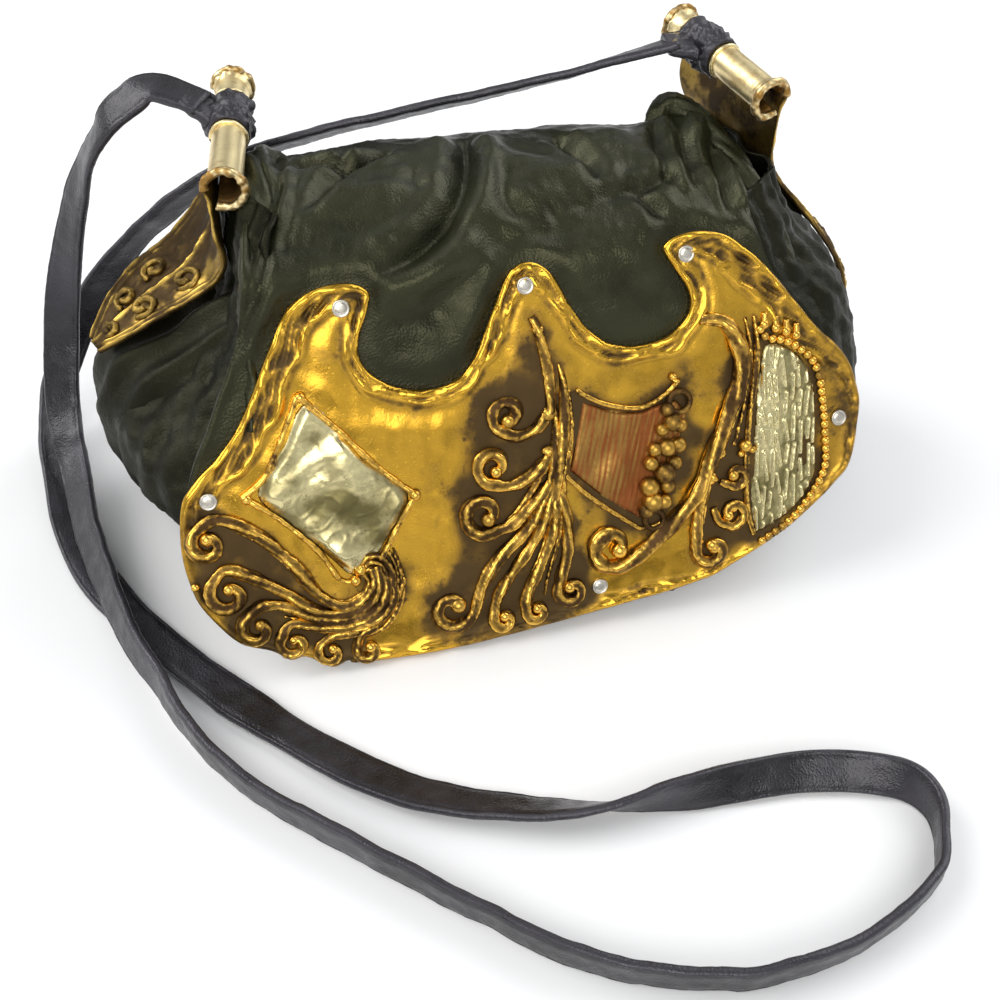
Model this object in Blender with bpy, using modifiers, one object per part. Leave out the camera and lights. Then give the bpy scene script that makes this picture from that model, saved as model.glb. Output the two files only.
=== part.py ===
"""A soft leather flap handbag with a riveted brass plate, brass side strips and a narrow shoulder strap.

The bag stands on its flat bottom, leaning back a little. X runs to its right, Y to its back, Z up.
Tables are in millimetres. The leather pouch is a loft through level sections, the flap a sheet that
runs up the front, over the mouth and down the back, and the plate a flat sheet with a raised rim and
soldered scrolls, all drawn in the plate's own plane: u to the right, v up the plate, w out of it.
"""
import math

import bmesh
import bpy
from mathutils import Matrix, Vector

MM = 0.001
LEATHER = 2.0
CLEARANCE = 0.3
MERGE_DISTANCE = 0.01
SHARP_ANGLE = 50

PLATE_LEAN = math.radians(27)
PLATE_FOOT_Y = -45.0
PLATE_SHEET = 1.5
PLATE_BACK_W = CLEARANCE
PLATE_FRONT_W = PLATE_BACK_W + PLATE_SHEET
PLATE_FRAME = (Matrix.Translation((0, PLATE_FOOT_Y * MM, 0))
               @ Matrix.Rotation(math.pi / 2 - PLATE_LEAN, 4, 'X'))

RIVET_HEAD_RADIUS = 3.1
RIVET_HEAD_HEIGHT = 1.3
RIVET_SHANK_RADIUS = 1.2
RIVET_HOLE_RADIUS = 1.6
RIVET_WASHER = 0.7
RIVET_WASHER_RADIUS = 2.5
RIVET_DOME_ANGLES = (50, 0)
RIVET_SIDES = 8
HOLE_CUTTER_LENGTH = 16

# The rim of the brass plate, clockwise from its left end: (u, v).
PLATE_OUTLINE = (
    (-130.7, 54), (-128.4, 69.6), (-123.5, 77), (-110.5, 89), (-101.6, 101.5), (-86.4, 129.5),
    (-79.3, 136.6), (-70.4, 139.8), (-61.4, 139.8), (-56, 137), (-55.6, 133), (-60.5, 121),
    (-61.2, 115), (-58.4, 109), (-50.7, 103), (-39, 100.2), (-29.3, 102), (-21.3, 109),
    (-8.7, 134), (-3.6, 139.4), (1, 140.4), (5.4, 138.8), (10, 134), (15.4, 123), (21.6, 114),
    (29.6, 108.3), (38.6, 106.5), (49.3, 108), (57.3, 113.2), (60, 119.6), (58.2, 126.5),
    (50.8, 138.4), (52, 142), (57, 144.2), (64, 144.8), (72.5, 143), (80, 138.4),
    (90.4, 128.6), (109, 105.6), (117, 98), (122.7, 90), (126, 80.5), (127, 71), (123.6, 51),
    (117, 43), (106.4, 34), (94, 25.6), (70.7, 14.4), (60, 11.2), (38.6, 8), (-33, 0.6),
    (-73, 0.9), (-78, 2.6), (-84.6, 1.2), (-93, 6.8), (-99, 6.6), (-105.2, 11.4),
    (-116, 16.4), (-125.9, 30), (-129.4, 40),
)
RIM_RADIUS = 1.3
RIM_INSET = 0.8
RIM_W = PLATE_FRONT_W - 0.1

RIVETS = ((-65.5, 132), (-1, 132.6), (58.6, 137.4), (-118.9, 70.8), (118.4, 69), (19.8, 15.8))

# Soldered scrolls: stem (u, v) points, the curl's centre, its turn in degrees (left-handed is
# positive), and the wire's radius at the root and at the curl.
SCROLLS = (
    (((-65.5, 37.5), (-65.5, 31), (-71, 25.5), (-78, 24.5), (-86, 31), (-93, 43), (-102, 54.5),
      (-112, 62), (-119, 64.2), (-125.5, 60.5)), (-121.5, 55.5), 400, 1.5, 1.3),
    (((-63.5, 38), (-63.5, 30), (-68, 23.5), (-77, 21.5), (-88, 24.5), (-98, 33.5), (-109, 41.5),
      (-117, 45), (-122.8, 40)), (-117, 35.5), 380, 1.5, 1.3),
    (((-61, 34), (-61, 28), (-66, 21), (-77, 18.6), (-88, 21.5), (-97, 27.5), (-106, 29.6),
      (-113, 25.5)), (-109, 20.8), 360, 1.4, 1.2),
    (((-58.6, 32), (-58.8, 25), (-65, 18), (-77, 15.8), (-88, 18), (-97, 20.8), (-101.4, 16)),
     (-97, 12.8), 380, 1.3, 1.1),
    (((-72.4, 12.6), (-81.6, 13.7), (-87.6, 10.6)), (-84.1, 7.1), 360, 1.15, 1.05),
    (((-66, 14), (-72, 12.4), (-74.6, 7.5)), (-70.4, 5.6), 330, 1.2, 1.1),
    (((4, 88), (0, 81.5), (-8, 79), (-15.5, 83)), (-11, 87.6), -400, 1.5, 1.3),
    (((4, 71), (-3, 64), (-12, 60.8), (-20.5, 63.2)), (-17.6, 69.4), -400, 1.7, 1.3),
    (((3.5, 61), (-3, 53.5), (-13, 46), (-24, 43.8)), (-23, 51.8), -400, 1.7, 1.4),
    (((3, 58), (-5, 45), (-17, 35), (-25, 25), (-29.5, 14.5)), (-38, 16.4), -390, 1.7, 1.4),
    (((4, 56), (-2, 42), (-11, 30.5), (-19.5, 19.5), (-22.6, 10)), (-18.3, 8.8), 360, 1.6, 1.2),
    (((5, 56), (3, 41), (-3.5, 27.5), (-9, 17), (-9.6, 10.5)), (-5.4, 10), 360, 1.5, 1.2),
    (((6, 57), (8.4, 45), (8, 33), (4.6, 22), (3, 16)), (8.6, 16.4), 380, 1.5, 1.3),
    (((63, 113.4), (70.5, 112.4), (76, 106.5), (78.6, 97), (77.4, 87), (72, 74), (66.6, 62),
      (60.5, 48.5), (50, 37.5), (39, 28.5), (28, 23)), (25, 31.4), -400, 2.2, 1.8),
    (((65, 57), (62, 46), (59.6, 35), (58.6, 25)), (65.2, 23.6), 360, 1.6, 1.4),
    (((66.5, 40.5), (68.5, 34.5), (74, 31.4)), (74, 37.2), 360, 1.3, 1.1),
    (((69.5, 50.4), (74.5, 47.8)), (76, 52), 340, 1.2, 1.1),
)
SCROLL_SINK = 0.1
SHEET_KEPT = 0.1
CURL_STEPS = 6
CURL_SHRINK = 0.68
CURL_PART = 0.82
LONG_STEM = 4

# The plume's two upright stems: (u, v, radius).
PLUME_STEMS = (
    ((1, 121, 1.0), (3, 114, 2.0), (5, 104, 2.3), (5.4, 95, 2.3), (5, 88, 1.8)),
    ((9, 102, 1.2), (10.2, 92, 2.0), (8.6, 80, 2.4), (6.4, 69, 2.6), (4.4, 59, 2.2)),
)

# The silver diamond with its wire frame and corner knobs, and the copper panel: (u, v).
DIAMOND = ((-80.5, 101), (-66, 81.6), (-50, 63), (-60, 47.5), (-68.5, 41), (-73, 38.6),
           (-77.5, 40), (-86, 53.5), (-100.5, 71), (-91, 86.5))
DIAMOND_KNOBS = ((-83, 103.2), (-47, 62.6), (-106, 69.8), (-72, 33.6))
KNOB_RADIUS = 1.7
DIAMOND_SHEET = 1.6
COPPER = ((17, 89), (25, 85), (33, 82.4), (40, 81.8), (46, 83.6), (53, 84.6), (57, 79.6),
          (51.5, 61), (46.6, 43.4), (37, 40.6), (24.8, 49.4), (11.2, 63))
COPPER_SHEET = 1.0
COPPER_WIRES = (
    ((15, 93.5, 0.9), (18.5, 90.6, 0.9), (25, 87, 0.9), (33, 84.4, 0.9), (40, 83.8, 0.9),
     (46.5, 86, 0.9), (52, 90, 0.9), (53, 92.6, 1.6)),
    ((9, 61.8, 0.9), (16, 54, 0.9), (24, 46.8, 0.9), (34, 38.8, 0.9), (37, 36.8, 0.9),
     (42, 37, 0.8), (45.6, 38.2, 0.8)),
)

# The half-moon of fused silver and the beaded wire round it: (u, v).
HALF_MOON = ((88.6, 100.6), (86.4, 90), (84.8, 76), (83.2, 60), (82.2, 45), (83.4, 30), (85, 27.6),
             (92, 30.4), (99.5, 35), (105.4, 41.5), (108.8, 49), (109.4, 60), (109, 74),
             (107.4, 86), (103.4, 93.8), (97, 99.2))
HALF_MOON_SHEET = 1.2
BEADED_WIRE = ((89, 103.6), (95.4, 102), (101.4, 98.6), (107, 93.2), (110, 87), (111.3, 79),
               (112.2, 70), (112.8, 60), (112.6, 51), (109, 43), (102, 34.4), (95, 28.6), (86, 24))
BEADED_WIRE_RADIUS = 1.5

# The cluster of balls on the copper panel, each sunk nearly half its radius: (u, v, radius).
BALL_RISE = 0.55
BALL_SIDES = 10
BALL_RINGS = 4
BALLS = (
    (48.7, 82, 2.0), (50.4, 77, 2.6), (46.4, 74.6, 1.9), (53.4, 75.4, 2.1), (47.8, 67.6, 2.6),
    (52.4, 68, 2.3), (43.4, 67.4, 2.1), (41.6, 62.2, 2.2), (46.6, 58, 3.0), (50.8, 61.4, 2.1),
    (40.4, 53.4, 2.8), (47.4, 53, 2.3), (41.4, 47.4, 3.0), (45.8, 46.8, 2.4), (38.8, 44, 2.2),
)

# Level sections of the leather pouch: (height, half width left, half width right, front y, back y,
# how far the two ends are swept back, side pleat depth).
BODY_SECTIONS = (
    (0, 110, 100, -33, 76, 20, 0.0),
    (8, 136, 118, -35.5, 84, 37, 1.5),
    (22, 155, 134, -29, 92, 35, 2.5),
    (42, 158, 147, -19, 98, 24, 3.0),
    (60, 158, 153, -9, 102, 16, 3.0),
    (75, 147, 148, -1, 105, 14, 2.5),
    (86, 124, 140, 5, 107, 12, 2.0),
    (96, 106, 126, 10, 108.5, 8, 1.5),
    (106, 95, 113, 15, 109, 5, 1.0),
    (117, 91, 103, 20.5, 108, 2, 0.5),
    (126.5, 90, 100, 27, 101, 0, 0.0),
)
BODY_SIDES = 36
BODY_SQUARENESS = 2.2

# The flap, first up the plane of the plate: (v, left edge u, right edge u).
FLAP_FRONT = (
    (5, -74, 50), (14, -104, 72), (26, -119, 92), (42, -125, 113), (58, -126.5, 121.5),
    (76, -125, 123), (94, -116, 118.5), (110, -108, 106), (126, -101, 94), (141, -96.5, 87),
)
# Then over the mouth and down the back: (y, z, left edge x, right edge x, drop of its edges).
FLAP_OVER = (
    (31, 132.2, -94, 86, 2), (46, 137.2, -92.5, 85.5, 4), (62, 139.4, -91, 86, 6),
    (78, 139.4, -88, 87, 7), (93, 135.4, -84.5, 88, 6), (104, 128.8, -83, 88, 4),
    (111, 119, -83, 86, 2), (114.4, 107, -83, 85, 0), (115, 95, -83, 85, 0),
)
FLAP_COLUMNS = 21
FLAP_TILT = 0.075
FLAP_TILT_TOP = 60
FLAP_BACK_ROWS = 3

# Creases and rolls of the flap, in its unrolled plane (x, distance up the sheet):
# (start x, start s, end x, end s, half width, height).
FLAP_FOLDS = (
    (-6, 214, -16, 172, 8, -4.5),
    (-16, 172, -36, 163, 8, -3.0),
    (-38, 206, -70, 172, 8, -3.5),
    (32, 208, 44, 174, 8, -4.0),
    (60, 178, 70, 166, 7, -2.5),
    (-79, 214, -84, 150, 6, 3.5),
    (84, 206, 64, 158, 6, 3.0),
    (86, 194, 80, 168, 5, -2.5),
    (8, 196, 24, 158, 12, 2.5),
    (-44, 190, -30, 158, 12, 2.5),
)

# Brass side strips: each tube's two axis ends, then rows down the sheet from the tube to the tip:
# (near x, near y, near z, far x, far y, far z). A flare's rows are (distance from the end, radius).
TUBE_RADIUS = 5.6
TUBE_SHEET = 1.0
TUBE_FLARE = ((0, 8.0), (2, 7.0), (5, 5.7))
TUBE_ROLL = math.radians(300)
TUBE_ROLL_STEPS = 8
STRIP_DROPS = (1.2, 10.0)
LOOP_WIDTH = 20.0
LOOP_SLACK = 1.2
LOOP_GAP = 0.4
LOOP_STEPS = 16
LEFT_TUBE = ((-98, 46, 148), (-89.1, 118, 149.8))
RIGHT_TUBE = ((101, 55, 158.5), (86, 115, 162.6))
LEFT_LOOP_AT = 46.0
RIGHT_LOOP_AT = 42.0
LEFT_ROWS = (
    (-103, 47.5, 130, -98, 116, 130),
    (-101, 50, 118, -104, 107, 117),
    (-102, 55, 108, -113, 99, 107),
    (-107, 58, 100.5, -123, 96, 99),
    (-117, 58, 94.5, -134, 93, 93),
    (-128, 58, 89, -143.5, 84, 88.5),
    (-138.5, 58, 83.5, -150, 76, 83),
    (-152.5, 60, 75.5, -154.5, 68, 77),
)
RIGHT_ROWS = (
    (108.5, 61, 140, 89, 114, 142),
    (111, 64.5, 128, 94, 111, 130),
    (117, 66.5, 117.5, 104, 106, 117),
    (126, 66.5, 108, 118, 99, 107),
    (134, 60, 99, 131, 92, 99),
    (140, 53, 91, 141, 83, 91.5),
    (144.5, 48.5, 82.5, 148, 69, 83.5),
    (146.5, 46, 73.5, 147.5, 51, 74.5),
)

# The shoulder strap: width, thickness, and its route from the left lug round the front and back
# to the right lug: (x, y, z, lean from upright in degrees).
STRAP_WIDTH = 14.5
STRAP_THICKNESS = 3.2
STRAP_POINTS = 76
STRAP_SMOOTHING = 6
STRAP_ROUTE = (
    (-101, 92, 156.5, -90), (-117, 100, 160, -100), (-127, 99, 156.5, -112),
    (-138, 100, 146, -121), (-152, 109, 118, -136), (-167, 110, 74, -130), (-176, 97, 34, -84),
    (-176, 80, 21, -62), (-174, 66, 15.5, -53), (-169, 29, 12.5, -39), (-156, -22, 12, -22),
    (-147, -43, 11, -12), (-136, -69, 9.4, 0), (-118, -95, 7.8, 3), (-87, -124, 7.4, 3),
    (-53, -154, 7.4, 4), (-22, -178, 7.4, 5), (18, -192, 7.4, 5), (57, -190, 7.4, 5),
    (89, -177, 7.4, 0), (101, -163, 7.4, -5), (104, -147, 7.3, 10), (94, -136, 6.4, 38),
    (66, -128, 5.6, 52), (25, -128, 7.2, 18), (-6, -127, 7, -35), (-32, -120, 4.8, -62),
    (-66, -105, 3.4, -75), (-100, -76, 2.4, -86), (-138, -32, 2, -90), (-164, 8, 2, -88),
    (-178, 44, 2.6, -80), (-184, 101, 12, -45), (-178, 119, 26, -28), (-162, 129, 50, -5),
    (-138, 130, 80, 35), (-107, 123, 107, 42), (-71, 117, 126, 52), (30, 102, 150.5, 60),
    (78, 96, 164, 75),
)

COLOURS = {
    "black_leather": ((0.012, 0.014, 0.012, 1), 0.0, 0.55),
    "strap_leather": ((0.014, 0.013, 0.015, 1), 0.0, 0.5),
    "brass": ((0.62, 0.38, 0.09, 1), 1.0, 0.28),
    "silver": ((0.72, 0.71, 0.62, 1), 1.0, 0.35),
    "copper": ((0.46, 0.2, 0.09, 1), 1.0, 0.5),
    "steel": ((0.75, 0.75, 0.74, 1), 1.0, 0.2),
}


def make_materials():
    """One Principled material for each leather and metal."""
    made = {}
    for name, (colour, metallic, roughness) in COLOURS.items():
        material = bpy.data.materials.new(name)
        material.use_nodes = True
        shader = material.node_tree.nodes["Principled BSDF"]
        shader.inputs["Base Color"].default_value = colour
        shader.inputs["Metallic"].default_value = metallic
        shader.inputs["Roughness"].default_value = roughness
        material.diffuse_color = colour
        made[name] = material
    return made


def smooth(points, steps, closed=False):
    """A Catmull-Rom curve through the points, with `steps` spans between neighbours."""
    points = [Vector(p) for p in points]
    count = len(points)
    spans = count if closed else count - 1
    result = []
    for i in range(spans):
        if closed:
            a, b, c, d = (points[(i + k) % count] for k in (-1, 0, 1, 2))
        else:
            a, b, c, d = (points[min(max(i + k, 0), count - 1)] for k in (-1, 0, 1, 2))
        for step in range(steps):
            t = step / steps
            result.append(0.5 * (2 * b + (c - a) * t + (2 * a - 5 * b + 4 * c - d) * t ** 2
                                 + (3 * b - a - 3 * c + d) * t ** 3))
    if not closed:
        result.append(points[-1])
    return result


def even_points(points, count):
    """The polyline through the points, read again at `count` equally spaced places."""
    lengths = [0.0]
    for p, q in zip(points, points[1:]):
        lengths.append(lengths[-1] + (Vector(q[:3]) - Vector(p[:3])).length)
    result = []
    place = 0
    for i in range(count):
        target = lengths[-1] * i / (count - 1)
        while place < len(points) - 2 and lengths[place + 1] < target:
            place += 1
        span = lengths[place + 1] - lengths[place]
        t = 0 if span == 0 else (target - lengths[place]) / span
        result.append(Vector(points[place]).lerp(Vector(points[place + 1]), min(t, 1)))
    return result


def add_object(name, mesh, collection, material=None, matrix=None):
    """Link a mesh or curve as an object of the collection."""
    made = bpy.data.objects.new(name, mesh)
    collection.objects.link(made)
    if material:
        mesh.materials.append(material)
    if matrix:
        made.matrix_world = matrix
    return made


def mesh_from_bmesh(name, bm):
    """Turn a bmesh in millimetres into a mesh in metres."""
    bmesh.ops.scale(bm, vec=(MM, MM, MM), verts=bm.verts)
    mesh = bpy.data.meshes.new(name)
    bm.to_mesh(mesh)
    bm.free()
    return mesh


def shade_round(mesh):
    """Smooth shading, with its sharp creases kept."""
    mesh.shade_smooth()
    mesh.set_sharp_from_angle(angle=math.radians(SHARP_ANGLE))


def grid_mesh(rows, closed=False, skip=()):
    """An open sheet through rows of points; `skip` names (row, column) faces left open."""
    bm = bmesh.new()
    grid = [[bm.verts.new(point) for point in row] for row in rows]
    columns = len(rows[0])
    for i in range(len(rows) - 1):
        for j in range(columns if closed else columns - 1):
            if (i, j) in skip:
                continue
            k = (j + 1) % columns
            bm.faces.new((grid[i][j], grid[i][k], grid[i + 1][k], grid[i + 1][j]))
    return bm


def add_solidify(target, thickness, offset):
    """Give an open sheet its wall."""
    modifier = target.modifiers.new("wall", 'SOLIDIFY')
    modifier.thickness = thickness * MM
    modifier.offset = offset
    modifier.use_even_offset = True
    return modifier


def add_boolean(target, tool, operation):
    """Join a hidden piece to the target, or cut it away."""
    tool.hide_render = True
    tool.display_type = 'WIRE'
    modifier = target.modifiers.new(tool.name, 'BOOLEAN')
    modifier.operation = operation
    modifier.solver = 'MANIFOLD'
    modifier.object = tool


def flat_outline(name, points, thickness, collection, material, base_w):
    """A flat sheet in the plate's plane, with its back face at base_w."""
    curve = bpy.data.curves.new(name, 'CURVE')
    curve.dimensions = '2D'
    curve.fill_mode = 'BOTH'
    curve.extrude = thickness * MM / 2
    spline = curve.splines.new('POLY')
    spline.points.add(len(points) - 1)
    for target, point in zip(spline.points, points):
        target.co = (point[0] * MM, point[1] * MM, 0, 1)
    spline.use_cyclic_u = True
    place = PLATE_FRAME @ Matrix.Translation((0, 0, (base_w + thickness / 2) * MM))
    return as_mesh(add_object(name, curve, collection, material, place))


def wire(name, points, collection):
    """A soldered wire through (u, v, radius) points, sunk a little into the plate."""
    curve = bpy.data.curves.new(name, 'CURVE')
    curve.dimensions = '3D'
    curve.bevel_depth = MM
    curve.bevel_resolution = 0
    curve.use_fill_caps = True
    spline = curve.splines.new('POLY')
    spline.points.add(len(points) - 1)
    for target, (u, v, radius) in zip(spline.points, points):
        w = max(PLATE_FRONT_W - SCROLL_SINK, PLATE_BACK_W + SHEET_KEPT + radius)
        target.co = (u * MM, v * MM, w * MM, 1)
        target.radius = radius
    return as_mesh(add_object(name, curve, collection, None, PLATE_FRAME))


def as_mesh(source):
    """Replace a curve object by its evaluated mesh, with the caps welded."""
    graph = bpy.context.evaluated_depsgraph_get()
    mesh = bpy.data.meshes.new_from_object(source.evaluated_get(graph), depsgraph=graph)
    bm = bmesh.new()
    bm.from_mesh(mesh)
    bmesh.ops.remove_doubles(bm, verts=bm.verts, dist=MERGE_DISTANCE * MM)
    bmesh.ops.recalc_face_normals(bm, faces=bm.faces)
    bm.to_mesh(mesh)
    bm.free()
    name = source.name
    collection = source.users_collection[0]
    matrix = source.matrix_world.copy()
    bpy.data.objects.remove(source)
    made = bpy.data.objects.new(name, mesh)
    collection.objects.link(made)
    made.matrix_world = matrix
    return made


def scroll_points(stem, centre, turn, root, tip):
    """A stem that winds up round the centre: (u, v, radius) points."""
    path = smooth(stem, 2 if len(stem) < LONG_STEM else 1)
    centre = Vector(centre)
    start = Vector(stem[-1]) - centre
    reach = start.length
    angle = math.atan2(start.y, start.x)
    for i in range(1, CURL_STEPS + 1):
        t = i / CURL_STEPS
        radius = reach * (1 - CURL_SHRINK * t)
        bearing = angle + math.radians(turn) * t * CURL_PART
        path.append(centre + Vector((math.cos(bearing), math.sin(bearing))) * radius)
    count = len(path) - 1
    return [(p.x, p.y, root + (tip - root) * i / count) for i, p in enumerate(path)]


def rim_points():
    """The raised rim: the plate's outline, drawn in by the rim's radius."""
    outline = [Vector(point) for point in PLATE_OUTLINE]
    count = len(outline)
    points = []
    for i, point in enumerate(outline):
        along = outline[(i + 1) % count] - outline[i - 1]
        inward = Vector((along.y, -along.x)).normalized()
        points.append(point + inward * RIM_RADIUS * RIM_INSET)
    return points


def make_rim(collection):
    """The rim as one closed round tube."""
    curve = bpy.data.curves.new("rim_curve", 'CURVE')
    curve.dimensions = '3D'
    curve.bevel_depth = RIM_RADIUS * MM
    curve.bevel_resolution = 0
    spline = curve.splines.new('POLY')
    points = rim_points()
    spline.points.add(len(points) - 1)
    for target, point in zip(spline.points, points):
        target.co = (point.x * MM, point.y * MM, RIM_W * MM, 1)
    spline.use_cyclic_u = True
    return as_mesh(add_object("fused_rim", curve, collection, None, PLATE_FRAME))


def make_ball(name, u, v, radius, collection, base_w):
    """A soldered ball."""
    bm = bmesh.new()
    bmesh.ops.create_uvsphere(bm, u_segments=BALL_SIDES, v_segments=BALL_RINGS, radius=radius)
    mesh = mesh_from_bmesh(name, bm)
    place = PLATE_FRAME @ Matrix.Translation((u * MM, v * MM, (base_w + radius * BALL_RISE) * MM))
    return add_object(name, mesh, collection, None, place)


def make_plate(parts, cutters, materials):
    """The brass plate with its rim, scrolls, plume, wires, knobs and beaded wire."""
    plate = flat_outline("brass_plate", PLATE_OUTLINE, PLATE_SHEET, parts, None, PLATE_BACK_W)
    plate.data.materials.append(materials["brass"])
    pieces = [make_rim(cutters)]
    for i, row in enumerate(SCROLLS):
        pieces.append(wire(f"fused_scroll_{i + 1}", scroll_points(*row), cutters))
    for i, row in enumerate(PLUME_STEMS):
        pieces.append(wire(f"fused_stem_{i + 1}", row, cutters))
    for i, row in enumerate(COPPER_WIRES):
        pieces.append(wire(f"fused_wire_{i + 1}", row, cutters))
    beaded = [(u, v, BEADED_WIRE_RADIUS) for u, v in BEADED_WIRE]
    pieces.append(wire("fused_beaded_wire", beaded, cutters))
    for i, (u, v) in enumerate(DIAMOND_KNOBS):
        pieces.append(make_ball(f"fused_knob_{i + 1}", u, v, KNOB_RADIUS, cutters, PLATE_FRONT_W))
    for piece in pieces:
        add_boolean(plate, piece, 'UNION')
    for i, (u, v) in enumerate(RIVETS):
        add_boolean(plate, hole_cutter(f"plate_hole_{i + 1}", u, v, cutters), 'DIFFERENCE')
    return plate


def make_inlays(parts, cutters, materials):
    """The silver diamond, the copper panel with its soldered balls, and the silver half-moon."""
    base = PLATE_FRONT_W + CLEARANCE
    diamond = flat_outline("silver_diamond", DIAMOND, DIAMOND_SHEET, parts, None, base)
    diamond.data.materials.append(materials["silver"])
    moon = flat_outline("silver_half_moon", HALF_MOON, HALF_MOON_SHEET, parts, None, base)
    moon.data.materials.append(materials["silver"])
    panel = flat_outline("copper_panel", COPPER, COPPER_SHEET, parts, None, base)
    panel.data.materials.append(materials["copper"])
    for i, (u, v, radius) in enumerate(BALLS):
        ball = make_ball(f"fused_ball_{i + 1}", u, v, radius, cutters, base + COPPER_SHEET)
        add_boolean(panel, ball, 'UNION')


def hole_cutter(name, u, v, collection):
    """A rivet's hole through plate and flap."""
    bm = bmesh.new()
    bmesh.ops.create_cone(bm, cap_ends=True, segments=RIVET_SIDES, radius1=RIVET_HOLE_RADIUS,
                          radius2=RIVET_HOLE_RADIUS, depth=HOLE_CUTTER_LENGTH)
    mesh = mesh_from_bmesh(name, bm)
    return add_object(name, mesh, collection, None,
                      PLATE_FRAME @ Matrix.Translation((u * MM, v * MM, 0)))


def make_rivet(name, u, v, parts, material):
    """A round-headed rivet: washer behind the flap, shank, domed head on the plate."""
    washer_front = -LEATHER - CLEARANCE
    head_back = PLATE_FRONT_W + CLEARANCE
    top = head_back + RIVET_HEAD_HEIGHT
    dome = [(RIVET_HEAD_RADIUS * math.cos(math.radians(a)),
             head_back + RIVET_HEAD_HEIGHT * math.sin(math.radians(a))) for a in RIVET_DOME_ANGLES]
    profile = [(0, top)] + dome + [
        (RIVET_SHANK_RADIUS, head_back), (RIVET_SHANK_RADIUS, washer_front),
        (RIVET_WASHER_RADIUS, washer_front),
        (RIVET_WASHER_RADIUS, washer_front - RIVET_WASHER), (0, washer_front - RIVET_WASHER)]
    return turned(name, profile, parts, material,
                  PLATE_FRAME @ Matrix.Translation((u * MM, v * MM, 0)), RIVET_SIDES)


def turned(name, profile, collection, material, matrix, steps):
    """A profile of (radius, height) points, turned round Z."""
    bm = bmesh.new()
    verts = [bm.verts.new((radius, 0, height)) for radius, height in profile]
    for a, b in zip(verts, verts[1:]):
        bm.edges.new((a, b))
    made = add_object(name, mesh_from_bmesh(name, bm), collection, material, matrix)
    screw = made.modifiers.new("turn", 'SCREW')
    screw.steps = steps
    screw.render_steps = steps
    screw.use_merge_vertices = True
    screw.merge_threshold = MERGE_DISTANCE * MM
    return made


def section_ring(height, left, right, front, back, sweep, pleat):
    """A level section of the pouch: a squared ellipse, its pleated ends swept back."""
    ring = []
    middle = (front + back) / 2
    depth = (back - front) / 2
    for i in range(BODY_SIDES):
        angle = 2 * math.pi * i / BODY_SIDES
        c = math.cos(angle)
        s = math.sin(angle)
        power = 2 / BODY_SQUARENESS
        valley = pleat * abs(c) ** 3 if i % 2 else 0
        half = (right if c > 0 else left) - valley
        x = half * math.copysign(abs(c) ** power, c)
        y = middle + depth * math.copysign(abs(s) ** power, s) + sweep * abs(c) ** (2 * power)
        ring.append((x, y, height))
    return ring


def make_body(parts, material):
    """The pouch: an open-topped leather shell with a flat bottom."""
    bm = grid_mesh([section_ring(*row) for row in BODY_SECTIONS], closed=True)
    bm.verts.ensure_lookup_table()
    bm.faces.new(list(reversed([bm.verts[i] for i in range(BODY_SIDES)])))
    body = add_object("leather_body", mesh_from_bmesh("leather_body", bm), parts, material)
    add_solidify(body, LEATHER, -1)
    shade_round(body.data)
    return body


def plate_point(u, v, w):
    """A point of the plate's plane, in millimetres of the bag's frame."""
    y = PLATE_FOOT_Y + v * math.sin(PLATE_LEAN) - w * math.cos(PLATE_LEAN)
    z = v * math.cos(PLATE_LEAN) + w * math.sin(PLATE_LEAN)
    return Vector((u, y, z))


def fold_height(x, s):
    """How far the creases and rolls lift the flap at (x, s) of its unrolled plane."""
    height = 0.0
    for x0, s0, x1, s1, half, lift in FLAP_FOLDS:
        along = Vector((x1 - x0, s1 - s0))
        t = Vector((x - x0, s - s0)).dot(along) / along.length_squared
        t = min(max(t, 0), 1)
        gap = (Vector((x, s)) - Vector((x0, s0)) - along * t).length
        height += lift * math.exp(-(gap / half) ** 2)
    return height


def flap_rows():
    """The flap's middle surface, row by row from its front hem to its back hem."""
    rows = []
    lengths = []
    for v, left, right in FLAP_FRONT:
        row = []
        for j in range(FLAP_COLUMNS):
            u = left + (right - left) * j / (FLAP_COLUMNS - 1)
            rise = FLAP_TILT * max(u, 0) * max(0, 1 - v / FLAP_TILT_TOP)
            row.append(plate_point(u, v + rise, -LEATHER / 2))
        rows.append(row)
        lengths.append(v)
    reach = lengths[-1]
    last = plate_point(0, reach, -LEATHER / 2)
    for y, z, left, right, drop in FLAP_OVER:
        reach += (Vector((0, y, z)) - last).length
        last = Vector((0, y, z))
        row = []
        for j in range(FLAP_COLUMNS):
            t = j / (FLAP_COLUMNS - 1)
            row.append(Vector((left + (right - left) * t, y, z - drop * abs(2 * t - 1) ** 4)))
        rows.append(row)
        lengths.append(reach)
    return rows, lengths


def make_flap(parts, cutters, material):
    """The flap: one sheet of gathered leather, with the rivets' holes."""
    rows, lengths = flap_rows()
    lifted = []
    for i, row in enumerate(rows):
        if i < len(FLAP_FRONT) or i >= len(rows) - FLAP_BACK_ROWS:
            lifted.append(row)
            continue
        along = (rows[i + 1][FLAP_COLUMNS // 2] - rows[i - 1][FLAP_COLUMNS // 2]).normalized()
        out = Vector((0, -along.z, along.y))
        lifted.append([p + out * fold_height(p.x, lengths[i]) for p in row])
    bm = grid_mesh(lifted)
    flap = add_object("leather_flap", mesh_from_bmesh("leather_flap", bm), parts, material)
    add_solidify(flap, LEATHER, 0)
    for i, (u, v) in enumerate(RIVETS):
        add_boolean(flap, hole_cutter(f"flap_hole_{i + 1}", u, v, cutters), 'DIFFERENCE')
    shade_round(flap.data)
    return flap


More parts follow.
